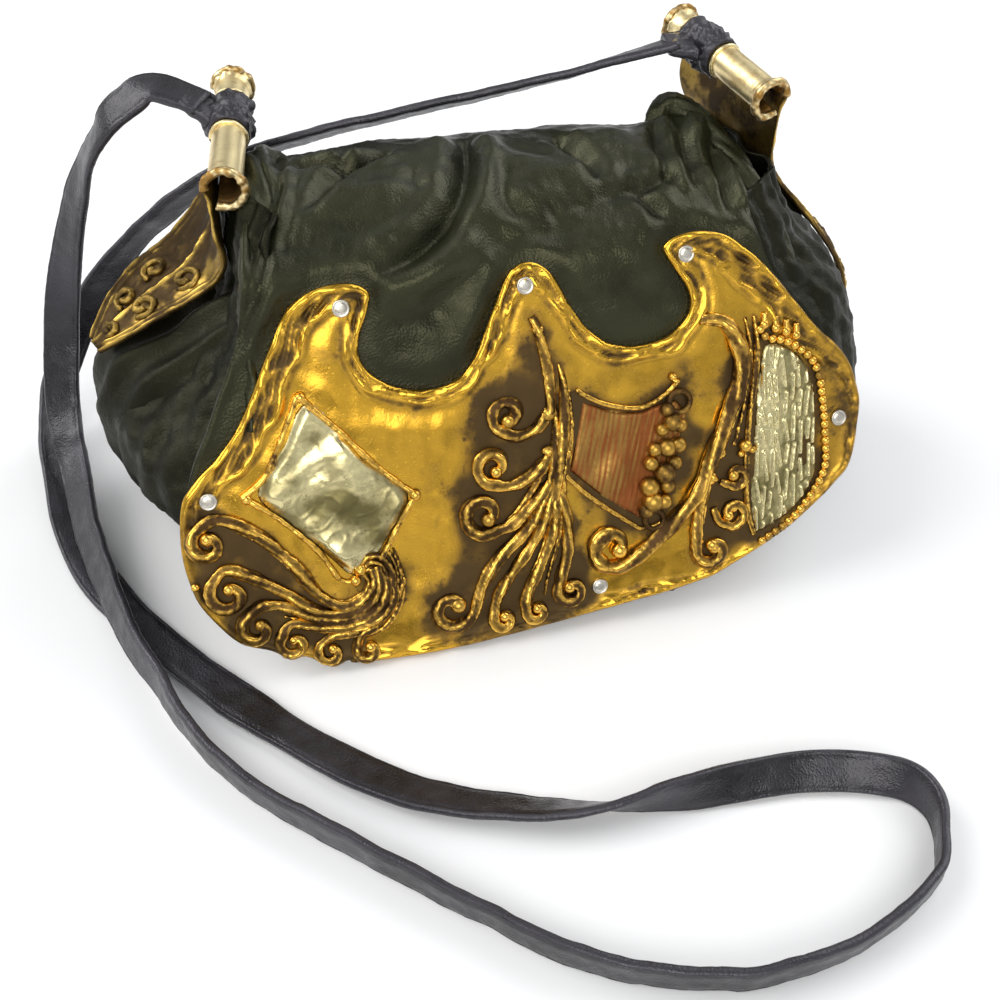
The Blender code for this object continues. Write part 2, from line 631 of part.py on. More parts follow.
def tube_frame(tube):
    """The tube's start, direction, outward and upward unit vectors, and length."""
    near = Vector(tube[0])
    far = Vector(tube[1])
    along = (far - near).normalized()
    side = 1 if near.x > 0 else -1
    up = Vector((0, 0, 1)) - along * along.z
    up.normalize()
    outward = up.cross(along) if side < 0 else along.cross(up)
    return near, along, outward, up, (far - near).length


def flare_radius(place, length):
    """The tube's radius, opened at both of its ends."""
    gap = min(place, length - place)
    for (a, ra), (b, rb) in zip(TUBE_FLARE, TUBE_FLARE[1:]):
        if gap <= b:
            return ra + (rb - ra) * (gap - a) / (b - a)
    return TUBE_RADIUS


def make_strip(name, tube, loop_at, table, parts, material):
    """A side strip: a sheet rolled into a tube at its top, with a slot for the strap's loop."""
    near, along, outward, up, length = tube_frame(tube)
    half = LOOP_WIDTH / 2 + LOOP_SLACK
    first = loop_at - half
    last = loop_at + half
    flare = TUBE_FLARE[-1][0]
    lip = TUBE_FLARE[1][0]
    places = [0, lip, flare, first, last, length - flare, length - lip, length]
    rows = []
    for step in range(TUBE_ROLL_STEPS + 1):
        angle = TUBE_ROLL * (1 - step / TUBE_ROLL_STEPS)
        row = []
        for place in places:
            radius = flare_radius(place, length)
            row.append(near + along * place + outward * radius * math.cos(angle)
                       + up * radius * math.sin(angle))
        rows.append(row)
    tangent_row = len(rows) - 1
    for depth in STRIP_DROPS:
        rows.append([near + along * place + outward * flare_radius(place, length)
                     - up * depth for place in places])
    for row in table:
        a = Vector(row[:3])
        b = Vector(row[3:])
        rows.append([a.lerp(b, place / length) for place in places])
    slot = {(tangent_row + 1, places.index(first))}
    bm = grid_mesh(rows, skip=slot)
    strip = add_object(name, mesh_from_bmesh(name, bm), parts, material)
    add_solidify(strip, TUBE_SHEET, 0)
    shade_round(strip.data)
    return strip


def make_loop(name, tube, loop_at, parts, material):
    """The strap's end, wrapped round the tube through the slot."""
    near, along, outward, up, _ = tube_frame(tube)
    inner = TUBE_RADIUS + TUBE_SHEET / 2 + LOOP_GAP
    outer = inner + LEATHER
    half = LOOP_WIDTH / 2
    bm = bmesh.new()
    corners = [(inner, -half), (inner, half), (outer, half), (outer, -half)]
    verts = [bm.verts.new((radius, 0, height)) for radius, height in corners]
    for a, b in zip(verts, verts[1:] + verts[:1]):
        bm.edges.new((a, b))
    frame = Matrix((outward, along.cross(outward), along)).transposed().to_4x4()
    frame.translation = (near + along * loop_at) * MM
    loop = add_object(name, mesh_from_bmesh(name, bm), parts, material, frame)
    screw = loop.modifiers.new("turn", 'SCREW')
    screw.steps = LOOP_STEPS
    screw.render_steps = LOOP_STEPS
    screw.use_merge_vertices = True
    screw.merge_threshold = MERGE_DISTANCE * MM
    return loop


def make_strap(parts, material):
    """The shoulder strap: a flat band that mostly stands on its edge."""
    route = even_points([Vector(p) for p in smooth(STRAP_ROUTE, STRAP_SMOOTHING)], STRAP_POINTS)
    curve = bpy.data.curves.new("shoulder_strap", 'CURVE')
    curve.dimensions = '3D'
    curve.twist_mode = 'Z_UP'
    curve.extrude = (STRAP_WIDTH - STRAP_THICKNESS) / 2 * MM
    curve.bevel_depth = STRAP_THICKNESS / 2 * MM
    curve.bevel_resolution = 0
    curve.use_fill_caps = True
    spline = curve.splines.new('POLY')
    spline.points.add(len(route) - 1)
    for target, (x, y, z, lean) in zip(spline.points, route):
        target.co = (x * MM, y * MM, z * MM, 1)
        target.tilt = math.radians(lean)
    return add_object("shoulder_strap", curve, parts, material)


def main():
    for old in list(bpy.data.objects):
        bpy.data.objects.remove(old)
    parts = bpy.data.collections.new("handbag")
    cutters = bpy.data.collections.new("fused_and_cut")
    bpy.context.scene.collection.children.link(parts)
    bpy.context.scene.collection.children.link(cutters)
    materials = make_materials()
    make_body(parts, materials["black_leather"])
    make_flap(parts, cutters, materials["black_leather"])
    make_plate(parts, cutters, materials)
    make_inlays(parts, cutters, materials)
    for i, (u, v) in enumerate(RIVETS):
        make_rivet(f"rivet_{i + 1}", u, v, parts, materials["steel"])
    make_strip("side_strip_left", LEFT_TUBE, LEFT_LOOP_AT, LEFT_ROWS, parts, materials["brass"])
    make_strip("side_strip_right", RIGHT_TUBE, RIGHT_LOOP_AT, RIGHT_ROWS, parts, materials["brass"])
    make_loop("strap_loop_left", LEFT_TUBE, LEFT_LOOP_AT, parts, materials["strap_leather"])
    make_loop("strap_loop_right", RIGHT_TUBE, RIGHT_LOOP_AT, parts, materials["strap_leather"])
    make_strap(parts, materials["strap_leather"])


main()
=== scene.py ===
"""Looks of a soft leather flap handbag with a riveted brass plate and a narrow shoulder strap.

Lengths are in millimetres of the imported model's frame: X to the bag's right, Y to its back, Z up.
The plate has a plane of its own: u to the right, v up the plate, w out of it.
"""
import math

import bpy
import numpy as np
from mathutils import Matrix, Vector


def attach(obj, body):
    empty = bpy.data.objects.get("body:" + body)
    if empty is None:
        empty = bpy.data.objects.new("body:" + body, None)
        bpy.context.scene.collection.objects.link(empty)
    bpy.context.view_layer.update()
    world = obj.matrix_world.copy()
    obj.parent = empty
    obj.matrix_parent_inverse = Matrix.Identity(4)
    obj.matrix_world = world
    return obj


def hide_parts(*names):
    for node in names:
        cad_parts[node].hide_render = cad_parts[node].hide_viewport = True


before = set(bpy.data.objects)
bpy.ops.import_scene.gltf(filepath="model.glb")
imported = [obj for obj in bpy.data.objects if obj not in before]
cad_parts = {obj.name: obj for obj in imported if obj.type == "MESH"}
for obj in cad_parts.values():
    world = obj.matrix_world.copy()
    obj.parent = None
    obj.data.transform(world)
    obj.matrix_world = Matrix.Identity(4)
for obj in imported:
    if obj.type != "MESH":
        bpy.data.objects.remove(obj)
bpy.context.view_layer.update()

MM = 0.001
TINY = 1e-12

# The camera, matched to the photograph: 1000 pixels wide, from the front, a little left of square.
PHOTO_PIXELS = 1000
FOCAL_PIXELS = 1200
SENSOR_MM = 36
VIEW_AZIMUTH = math.radians(15.2)
VIEW_ELEVATION = math.radians(44.6)
VIEW_ROLL = math.radians(2.4)
VIEW_DISTANCE = 427
VIEW_TARGET = (-18.5, -30.0, 59.5)


def add_camera():
    """Stand the camera where the photograph was taken from."""
    back = Vector((-math.sin(VIEW_AZIMUTH) * math.cos(VIEW_ELEVATION),
                   -math.cos(VIEW_AZIMUTH) * math.cos(VIEW_ELEVATION), math.sin(VIEW_ELEVATION)))
    level = Vector((math.cos(VIEW_AZIMUTH), -math.sin(VIEW_AZIMUTH), 0))
    upright = back.cross(level)
    right = level * math.cos(VIEW_ROLL) + upright * math.sin(VIEW_ROLL)
    up = upright * math.cos(VIEW_ROLL) - level * math.sin(VIEW_ROLL)
    data = bpy.data.cameras.new("camera")
    data.sensor_width = SENSOR_MM
    data.lens = SENSOR_MM * FOCAL_PIXELS / PHOTO_PIXELS
    data.clip_start = 0.01
    data.clip_end = 20
    camera = bpy.data.objects.new("camera", data)
    turn = Matrix((right, up, back)).transposed().to_4x4()
    place = (Vector(VIEW_TARGET) + back * VIEW_DISTANCE) * MM
    camera.matrix_world = Matrix.Translation(place) @ turn
    bpy.context.scene.collection.objects.link(camera)
    bpy.context.scene.camera = camera


add_camera()


# Curves and random fields

def smooth_path(points, steps, closed=False):
    """A Catmull-Rom curve through the points, with `steps` spans between neighbours."""
    p = np.array(points, float)
    count = len(p)
    spans = count if closed else count - 1
    t = (np.arange(steps) / steps)[:, None]
    pieces = []
    for i in range(spans):
        if closed:
            a, b, c, d = (p[(i + k) % count] for k in (-1, 0, 1, 2))
        else:
            a, b, c, d = (p[min(max(i + k, 0), count - 1)] for k in (-1, 0, 1, 2))
        pieces.append(0.5 * (2 * b + (c - a) * t + (2 * a - 5 * b + 4 * c - d) * t ** 2
                             + (3 * b - a - 3 * c + d) * t ** 3))
    if not closed:
        pieces.append(p[-1:])
    return np.concatenate(pieces)


def even_path(points, step, axes=3):
    """The polyline read again at even steps; lengths are taken along its first `axes` columns."""
    p = np.array(points, float)
    along = travelled(p[:, :axes])
    places = np.linspace(0, along[-1], max(2, int(round(along[-1] / step)) + 1))
    return np.stack([np.interp(places, along, p[:, k]) for k in range(p.shape[1])], axis=1)


def travelled(points):
    """How far along a polyline each of its points lies."""
    return np.concatenate([[0], np.cumsum(np.linalg.norm(np.diff(points, axis=0), axis=1))])


def path_length(points):
    """A polyline's length."""
    return float(np.linalg.norm(np.diff(points, axis=0), axis=1).sum())


def unit(vectors):
    """The vectors, each made one long."""
    return vectors / np.maximum(np.linalg.norm(vectors, axis=-1, keepdims=True), TINY)


def circle(steps):
    """Even angles once round, in radians."""
    return 2 * math.pi * np.arange(steps) / steps


def ripple(points, wavelength, seed, waves=14):
    """A smooth random field, mostly within -1 to 1: plane waves in seeded directions."""
    points = np.asarray(points, float)
    rng = np.random.default_rng(seed)
    field = np.zeros(points.shape[:-1])
    for _ in range(waves):
        direction = rng.normal(size=points.shape[-1])
        direction *= 2 * math.pi / (wavelength * rng.uniform(0.65, 1.5) * np.linalg.norm(direction))
        field += np.cos(points @ direction + rng.uniform(0, 2 * math.pi))
    return field * math.sqrt(2 / waves) / 1.6


def step_up(values, low, high):
    """0 below `low`, 1 above `high`, smooth between them."""
    t = np.clip((np.asarray(values, float) - low) / (high - low), 0, 1)
    return t * t * (3 - 2 * t)


def hump(values, middle, half):
    """1 at `middle`, falling away smoothly over about `half` to each side."""
    return np.exp(-((values - middle) / half) ** 2)


def mound(spots, u, v, wide, tall):
    """A hump over (u, v), that wide and tall."""
    return np.exp(-((spots[:, 0] - u) / wide) ** 2 - ((spots[:, 1] - v) / tall) ** 2)


def ripples(points, *layers):
    """Ripples added up, each given as (height, wavelength, seed)."""
    return sum(height * ripple(points, wavelength, seed) for height, wavelength, seed in layers)


def near_line(points, line, closed=False):
    """The distance of each point from a polyline, and the place along it of the nearest spot."""
    line = np.asarray(line, float)
    if closed:
        line = np.concatenate([line, line[:1]])
    best = np.full(len(points), np.inf)
    place = np.zeros(len(points))
    done = 0.0
    for a, b in zip(line, line[1:]):
        span = b - a
        size = float(np.dot(span, span))
        t = np.clip((points - a) @ span / max(size, TINY), 0, 1)
        gap = np.hypot(*(points - a - t[:, None] * span).T)
        closer = gap < best
        best[closer] = gap[closer]
        place[closer] = done + t[closer] * math.sqrt(size)
        done += math.sqrt(size)
    return best, place


def inside(points, outline):
    """Whether each point is within a closed outline."""
    outline = np.asarray(outline, float)
    found = np.zeros(len(points), bool)
    x, y = points.T
    for (x0, y0), (x1, y1) in zip(outline, np.roll(outline, -1, axis=0)):
        if y0 != y1:
            found ^= ((y0 > y) != (y1 > y)) & (x < x0 + (x1 - x0) * (y - y0) / (y1 - y0))
    return found


# Meshes

def add_mesh(name, points, faces, material, node_names, values):
    """Make a piece from points in millimetres; `values` are per-point numbers for its material."""
    mesh = bpy.data.meshes.new(name)
    metres = np.asarray(points, float) * MM
    mesh.from_pydata(metres.tolist(), [], [list(map(int, face)) for face in faces])
    mesh.materials.append(material)
    for key, numbers in values.items():
        layer = mesh.attributes.new(key, 'FLOAT', 'POINT')
        layer.data.foreach_set("value", np.asarray(numbers, np.float32))
    mesh.shade_smooth()
    mesh.validate()
    piece = bpy.data.objects.new(name, mesh)
    bpy.context.scene.collection.objects.link(piece)
    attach(piece, "root")
    if node_names:
        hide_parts(*node_names)
    return piece


def add_wall(piece, thickness, offset):
    """Give a sheet its thickness, in millimetres."""
    wall = piece.modifiers.new("wall", 'SOLIDIFY')
    wall.thickness = thickness * MM
    wall.offset = offset


def grid_faces(rows, columns, closed_rows=False, closed_columns=False):
    """Quads over a grid of rows x columns points."""
    i = np.arange(rows if closed_rows else rows - 1)
    j = np.arange(columns if closed_columns else columns - 1)
    i, j = (a.ravel() for a in np.meshgrid(i, j, indexing='ij'))
    i2, j2 = (i + 1) % rows, (j + 1) % columns
    corners = (i * columns + j, i * columns + j2, i2 * columns + j2, i2 * columns + j)
    return np.stack(corners, axis=1).tolist()


def tube_faces(rings, sides):
    """The faces of a tube of rings, with a cap on each end."""
    last = (rings - 1) * sides
    caps = [list(range(sides))[::-1], list(range(last, last + sides))]
    return grid_faces(rings, sides, closed_columns=True) + caps


def two_sided(face, back, cut):
    """A sheet from the grids of its two sides, without the cells that are cut: points and faces."""
    rows, columns = face.shape[:2]
    kept = [quad for quad, gone in zip(grid_faces(rows, columns), cut.ravel()) if not gone]
    shift = rows * columns
    backs = [[k + shift for k in quad[::-1]] for quad in kept]
    walls = [[b, a, a + shift, b + shift] for a, b in boundary(np.array(kept)).items()]
    return np.concatenate([face.reshape(-1, 3), back.reshape(-1, 3)]), kept + backs + walls


def join(parts):
    """Several (points, faces) as one."""
    points, faces, start = [], [], 0
    for p, f in parts:
        points.append(np.asarray(p, float))
        faces += [[index + start for index in face] for face in f]
        start += len(p)
    return np.concatenate(points), faces


# Directions across a free tube's start: for most paths, and for one that starts upright.
FIRST_GUESS = np.array([0.3, 0.2, 1.0])
UPRIGHT_GUESS = np.array([1.0, 0.2, 0.1])
# How narrow the grooves between a wire's strands are, and how large the bumps on it, in mm.
STRAND_SHARPNESS = 2.5
ROUGH_SIZE = 2.2


def tube(path, radius, sides=14, lobes=0, depth=0.0, pitch=30.0, rough=0.0, seed=0, flat=1.0,
         normal=None):
    """A round or stranded wire along a path: its points and faces.

    `radius` is a number or one for each path point. `lobes` strands of `depth` wind once in every
    `pitch`. `normal` keeps the ring upright on a plane, and `flat` presses it towards that plane.
    """
    path = np.asarray(path, float)
    count = len(path)
    radius = np.broadcast_to(np.asarray(radius, float), count)
    along = unit(np.gradient(path, axis=0))
    if normal is None:
        across = np.zeros_like(path)
        guess = FIRST_GUESS if abs(along[0, 2]) < 0.9 else UPRIGHT_GUESS
        for i in range(count):
            guess = unit(guess - along[i] * np.dot(guess, along[i]))
            across[i] = guess
    else:
        normal = np.asarray(normal, float)
        across = unit(normal - along * (along @ normal)[:, None])
    side = np.cross(along, across)
    ring = np.broadcast_to(circle(sides), (count, sides))
    size = radius[:, None] * np.ones_like(ring)
    if lobes:
        wind = 2 * math.pi * travelled(path)[:, None] / pitch
        size = size * (1 - depth * np.abs(np.cos(0.5 * lobes * (ring - wind))) ** STRAND_SHARPNESS)
    offset = (side[:, None, :] * np.cos(ring)[..., None]
              + across[:, None, :] * (np.sin(ring) * flat)[..., None])
    points = path[:, None, :] + offset * size[..., None]
    if rough:
        bumps = ripples(points, (1, ROUGH_SIZE, seed), (0.5, ROUGH_SIZE / 2, seed + 1))
        points = points + offset * (bumps * rough)[..., None]
    return points.reshape(-1, 3), tube_faces(count, sides)


def ball(centre, radius, axis=(0, 0, 1), flat=1.0, rings=8, sides=14):
    """A sphere, or a bead pressed flat along its axis."""
    axis = unit(np.asarray(axis, float))
    side = unit(np.cross(axis, [0.31, 0.87, 0.22]))
    other = np.cross(axis, side)
    points = []
    for i in range(1, rings):
        a = math.pi * i / rings
        for j in range(sides):
            b = 2 * math.pi * j / sides
            points.append(side * math.sin(a) * math.cos(b) + other * math.sin(a) * math.sin(b)
                          + axis * math.cos(a) * flat)
    points += [axis * flat, -axis * flat]
    top, low = len(points) - 2, len(points) - 1
    faces = [face[::-1] for face in grid_faces(rings - 1, sides, closed_columns=True)]
    last = (rings - 2) * sides
    for j in range(sides):
        k = (j + 1) % sides
        faces.append([top, j, k])
        faces.append([low, last + k, last + j])
    return np.asarray(centre, float) + np.array(points) * radius, faces


PLATE_LEAN = math.radians(27)
PLATE_FOOT_Y = -45.0
PLATE_NORMAL = np.array([0, -math.cos(PLATE_LEAN), math.sin(PLATE_LEAN)])
# Heights over the plate's plane, in mm: its back, its face, and the face of its inlays.
PLATE_BACK_W = 0.3
PLATE_FACE_W = 1.8
INLAY_W = 1.9


def plate_points(u, v, w):
    """Points of the plate's plane, in the bag's frame."""
    u, v, w = (np.asarray(a, float) for a in np.broadcast_arrays(u, v, w))
    y = PLATE_FOOT_Y + v * math.sin(PLATE_LEAN) - w * math.cos(PLATE_LEAN)
    z = v * math.cos(PLATE_LEAN) + w * math.sin(PLATE_LEAN)
    return np.stack([u, y, z], axis=-1)


def over_plate(points):
    """How high points stand over the plate's face."""
    return (points - plate_points(0, 0, PLATE_FACE_W)) @ PLATE_NORMAL



# Materials

class Nodes:
    """Adds shader nodes to one material and links them."""

    def __init__(self, name):
        self.material = bpy.data.materials.new(name)
        self.material.use_nodes = True
        self.tree = self.material.node_tree
        self.shader = self.tree.nodes["Principled BSDF"]
        self.place = self.add("TexCoord", output="Object")

    def add(self, kind, inputs=(), output=0, **settings):
        node = self.tree.nodes.new("ShaderNode" + kind)
        for key, value in settings.items():
            setattr(node, key, value)
        for key, value in dict(inputs).items():
            self.put(node.inputs[key], value)
        return node.outputs[output]

    def put(self, socket, value):
        if isinstance(value, bpy.types.NodeSocket):
            self.tree.links.new(value, socket)
        else:
            socket.default_value = value

    def set(self, **inputs):
        for key, value in inputs.items():
            self.put(self.shader.inputs[key.replace("_", " ")], value)

    def noise(self, size_mm, detail=2.0, rough=0.5, stretch=None):
        """Noise from 0 to 1 whose features are about size_mm wide."""
        vector = self.place
        if stretch:
            vector = self.add("Mapping", {"Vector": vector, "Scale": stretch})
        inputs = {"Vector": vector, "Scale": 1 / (size_mm * MM), "Detail": detail,
                  "Roughness": rough}
        return self.add("TexNoise", inputs, output="Fac")

    def ramp(self, value, low, high, out_low=0.0, out_high=1.0):
        return self.add("MapRange", {"Value": value, "From Min": low, "From Max": high,
                                     "To Min": out_low, "To Max": out_high}, output="Result",
                        interpolation_type='SMOOTHSTEP')

    def mix(self, factor, a, b):
        """A colour between a and b."""
        return self.add("Mix", {0: factor, 6: a, 7: b}, output=2, data_type='RGBA')

    def maths(self, operation, a, b):
        return self.add("Math", {0: a, 1: b}, operation=operation)

    def value_of(self, name):
        return self.add("Attribute", output="Fac", attribute_name=name)

    def bump(self, height, depth_mm, strength=1.0, normal=None):
        inputs = {"Height": height, "Distance": depth_mm * MM, "Strength": strength}
        if normal:
            inputs["Normal"] = normal
        return self.add("Bump", inputs, output="Normal")


def rgb(red, green, blue):
    return (red, green, blue, 1)


def leather_material(name, dark, light, grain_mm, gloss, depth_mm, sheen, tint):
    """Soft leather: a fine pebbled grain, uneven dye, rubbed edges, and painted highlight on fold
    ridges with painted shade in the creases.
    """
    n = Nodes(name)
    inputs = {"Vector": n.place, "Scale": 1 / (grain_mm * MM), "Randomness": 1.0}
    cells = n.add("TexVoronoi", inputs, output="Distance", feature='F1')
    pores = n.noise(grain_mm * 0.55, 2.0)
    creases = n.noise(9, 4.0, 0.6, stretch=(1, 1, 2.2))
    patches = n.noise(38, 3.0)
    pebble = n.maths('ADD', n.maths('MULTIPLY', cells, -0.75), n.maths('MULTIPLY', pores, 0.35))
    dyed = n.mix(n.ramp(patches, 0.35, 0.7), dark, light)
    # A per-point value lightens the colour: rubbed edges and random tone, and where it follows the
    # folds' height, painted highlight on ridges and painted shade in creases.
    wear_and_fold_shade = n.ramp(n.value_of("wear_and_fold_shade"), 0.0, 1.0)
    n.set(Base_Color=n.mix(n.maths('MULTIPLY', wear_and_fold_shade, 0.8), dyed, light),
          Roughness=n.ramp(n.noise(6, 3.0), 0.3, 0.75, gloss - 0.06, gloss + 0.1))
    n.shader.inputs["Specular IOR Level"].default_value = sheen
    n.shader.inputs["Specular Tint"].default_value = tint
    fold = n.bump(creases, 0.5, 0.5)
    n.set(Normal=n.bump(pebble, depth_mm, 0.9, normal=fold))
    return n.material


def metal_material(name, bright, dark, polish, dull, relief_mm=0.05, hammer_mm=0.25, speck=0.5):
    """Old polished metal: bright where rubbed, brown in its recesses, with pits and stains."""
    n = Nodes(name)
    recess = n.value_of("recess")
    cloud = n.noise(14, 4.0, 0.62)
    stains = n.noise(3.2, 3.0, 0.7)
    pits = n.ramp(n.noise(0.9, 2.0), 0.66, 0.76)
    dirt = n.maths('ADD', recess, n.ramp(cloud, 0.43, 0.74, 0.0, 0.55))
    dirt = n.maths('ADD', dirt, n.maths('MULTIPLY', n.ramp(stains, 0.56, 0.78), 0.32))
    dirt = n.maths('ADD', dirt, n.maths('MULTIPLY', pits, speck * 0.5))
    dirt = n.ramp(dirt, 0.05, 1.0)
    n.set(Base_Color=n.mix(dirt, bright, dark), Roughness=n.ramp(dirt, 0.0, 1.0, polish, dull))
    n.shader.inputs["Metallic"].default_value = 1.0
    hammered = n.bump(n.noise(4.5, 2.0), hammer_mm, 0.35)
    grain = n.maths('SUBTRACT', n.noise(0.8, 3.0), pits)
    n.set(Normal=n.bump(grain, relief_mm, 0.6, normal=hammered))
    return n.material


OLIVE_SHEEN = rgb(1.0, 0.97, 0.6)
BLACK_LEATHER = leather_material("black_leather", rgb(0.003, 0.0037, 0.002),
                                 rgb(0.014, 0.0155, 0.007), 0.95, 0.38, 0.16, 0.42, OLIVE_SHEEN)
# The pouch's and gussets' leather: a darker copy of the black leather with less sheen, its extra
# darkness painted shade.
POUCH_LEATHER = leather_material("pouch_leather", rgb(0.0022, 0.0026, 0.0016),
                                 rgb(0.006, 0.0066, 0.0038), 0.95, 0.46, 0.16, 0.2, OLIVE_SHEEN)
STRAP_LEATHER = leather_material("strap_leather", rgb(0.005, 0.0046, 0.005),
                                 rgb(0.03, 0.028, 0.034), 0.8, 0.32, 0.16, 0.55,
                                 rgb(0.95, 0.93, 1.0))
BRASS = metal_material("brass", rgb(0.73, 0.41, 0.044), rgb(0.095, 0.06, 0.026), 0.22, 0.6)
WIRE_BRASS = metal_material("wire_brass", rgb(0.9, 0.53, 0.09), rgb(0.085, 0.046, 0.018),
                            0.24, 0.52, 0.03, 0.1)
PALE_BRASS = metal_material("pale_brass", rgb(0.96, 0.8, 0.44), rgb(0.34, 0.19, 0.05),
                            0.34, 0.5, hammer_mm=0.08)
STRIP_BRASS = metal_material("strip_brass", rgb(0.72, 0.47, 0.1), rgb(0.07, 0.044, 0.02),
                             0.28, 0.55)
SILVER = metal_material("silver", rgb(0.8, 0.7, 0.37), rgb(0.17, 0.145, 0.06), 0.25, 0.45)
COPPER = metal_material("copper", rgb(0.36, 0.2, 0.052), rgb(0.26, 0.085, 0.026), 0.36, 0.55)
RIVET_METAL = metal_material("rivet_metal", rgb(0.64, 0.6, 0.52), rgb(0.35, 0.32, 0.28), 0.3, 0.42,
                             0.004, 0.01)


# The shoulder strap

STRAP_WIDTH = 14.5
STRAP_THICKNESS = 3.2
STRAP_STEP = 1.6
STRAP_LOWEST = 0.1
# Uneven leather: (height, wavelength, seed).
STRAP_NARROWING = (0.05, 60, 5)
STRAP_WAVE = (0.2, 26, 6)
STRAP_DENTS = ((0.09, 7, 7), (0.05, 1.9, 8))
# From the left lug round the front and back to the right lug: (x, y, z, lean in degrees).
STRAP_ROUTE = (
    (-101, 92, 156.5, -90), (-117, 100, 160, -100), (-127, 99, 156.5, -112),
    (-138, 100, 146, -121), (-152, 109, 118, -136), (-167, 110, 74, -130), (-176, 97, 34, -84),
    (-176, 80, 21, -62), (-174, 66, 15.5, -53), (-169, 29, 12.5, -39), (-156, -22, 12, -22),
    (-147, -43, 11, -12), (-136, -69, 9.4, 0), (-118, -95, 7.8, 3), (-87, -124, 7.4, 3),
    (-53, -154, 7.4, 4), (-22, -178, 7.4, 5), (18, -192, 7.4, 5), (57, -190, 7.4, 5),
    (89, -177, 7.4, 0), (101, -163, 7.4, -5), (104, -147, 7.3, 10), (94, -136, 6.4, 38),
    (66, -128, 5.6, 52), (25, -128, 7.2, 18), (-6, -127, 7, -35), (-32, -120, 4.8, -62),
    (-66, -105, 3.4, -75), (-100, -76, 2.4, -86), (-138, -32, 2, -90), (-164, 8, 2, -88),
    (-178, 44, 2.6, -80), (-184, 101, 12, -45), (-178, 119, 26, -28), (-162, 129, 50, -5),
    (-138, 130, 80, 35), (-107, 123, 107, 42), (-71, 117, 126, 52), (30, 102, 150.5, 60),
    (78, 96, 164, 75),
)
# Its cross-section, half of the top face: (share of the half width, share of the half thickness).
STRAP_EDGE = ((1.0, 0.0), (0.985, 0.5), (0.93, 0.82), (0.86, 0.95), (0.8, 0.84), (0.74, 0.97),
              (0.5, 1.0), (0.25, 0.97), (0.0, 0.95))


def band_frames(route):
    """Points along a band, and its unit directions along its width and out of its face."""
    points = route[:, :3]
    along = unit(np.gradient(points, axis=0))
    up = unit(np.array([0, 0, 1.0]) - along * along[:, 2:3])
    side = np.cross(along, up)
    lean = np.radians(route[:, 3:4])
    width = up * np.cos(lean) + side * np.sin(lean)
    return points, width, np.cross(along, width)


def band_section():
    """The strap's outline, once round: (across, out) in half widths and half thicknesses."""
    top = list(STRAP_EDGE) + [(-a, b) for a, b in STRAP_EDGE[-2::-1]]
    low = [(a, -b) for a, b in top[-2:0:-1]]
    return np.array(top + low)


def make_strap():
    """A folded band, ridged beside its edges, that mostly stands on its edge."""
    route = even_path(smooth_path(STRAP_ROUTE, 10), STRAP_STEP)
    points, width, out = band_frames(route)
    section = band_section()
    way = np.arange(len(points))[:, None] * STRAP_STEP
    narrow = 1 + ripples(way, STRAP_NARROWING)
    wave = ripples(way, STRAP_WAVE)
    across = section[None, :, 0] * (STRAP_WIDTH / 2 * narrow)[:, None]
    lift = section[None, :, 1] * STRAP_THICKNESS / 2
    ring = (points[:, None, :] + width[:, None, :] * across[..., None]
            + out[:, None, :] * (lift + wave[:, None])[..., None])
    ring = ring + out[:, None, :] * (np.sign(lift) * ripples(ring, *STRAP_DENTS))[..., None]
    ring[..., 2] = np.maximum(ring[..., 2], STRAP_LOWEST)
    edge = np.abs(section[:, 0]) > 0.9
    wear_and_fold_shade = np.tile(edge * 0.8, (len(points), 1)) + 0.2 * ripple(ring, 9, 9)
    strap = add_mesh("shoulder_strap_band", ring.reshape(-1, 3),
                     tube_faces(len(points), len(section)), STRAP_LEATHER, ["shoulder_strap"],
                     {"wear_and_fold_shade": np.clip(wear_and_fold_shade, 0, 1).ravel()})


make_strap()


# The leather flap

FLAP_THICKNESS = 1.8
FLAP_SPACING = 1.5
FLAP_COLUMNS = 133
# Up the plane of the plate: (v, left edge u, right edge u).
FLAP_FRONT = (
    (5, -74, 50), (14, -104, 72), (26, -119, 92), (42, -125, 113), (58, -126.5, 121.5),
    (76, -125, 123), (94, -116, 118.5), (110, -108, 106), (126, -101, 94), (141, -96.5, 87),
)
# Over the mouth and down the back: (y, z, left edge x, right edge x, drop of its edges).
FLAP_OVER = (
    (31, 132.2, -94, 86, 2), (46, 137.2, -92.5, 85.5, 4), (62, 139.4, -91, 86, 6),
    (78, 139.4, -88, 87, 7), (93, 135.4, -84.5, 88, 6), (104, 128.8, -83, 88, 4),
    (111, 119, -83, 86, 2), (114.4, 107, -83, 85, 0), (115, 95, -83, 85, 0),
)
FLAP_TILT = 0.075
FLAP_TILT_TOP = 60
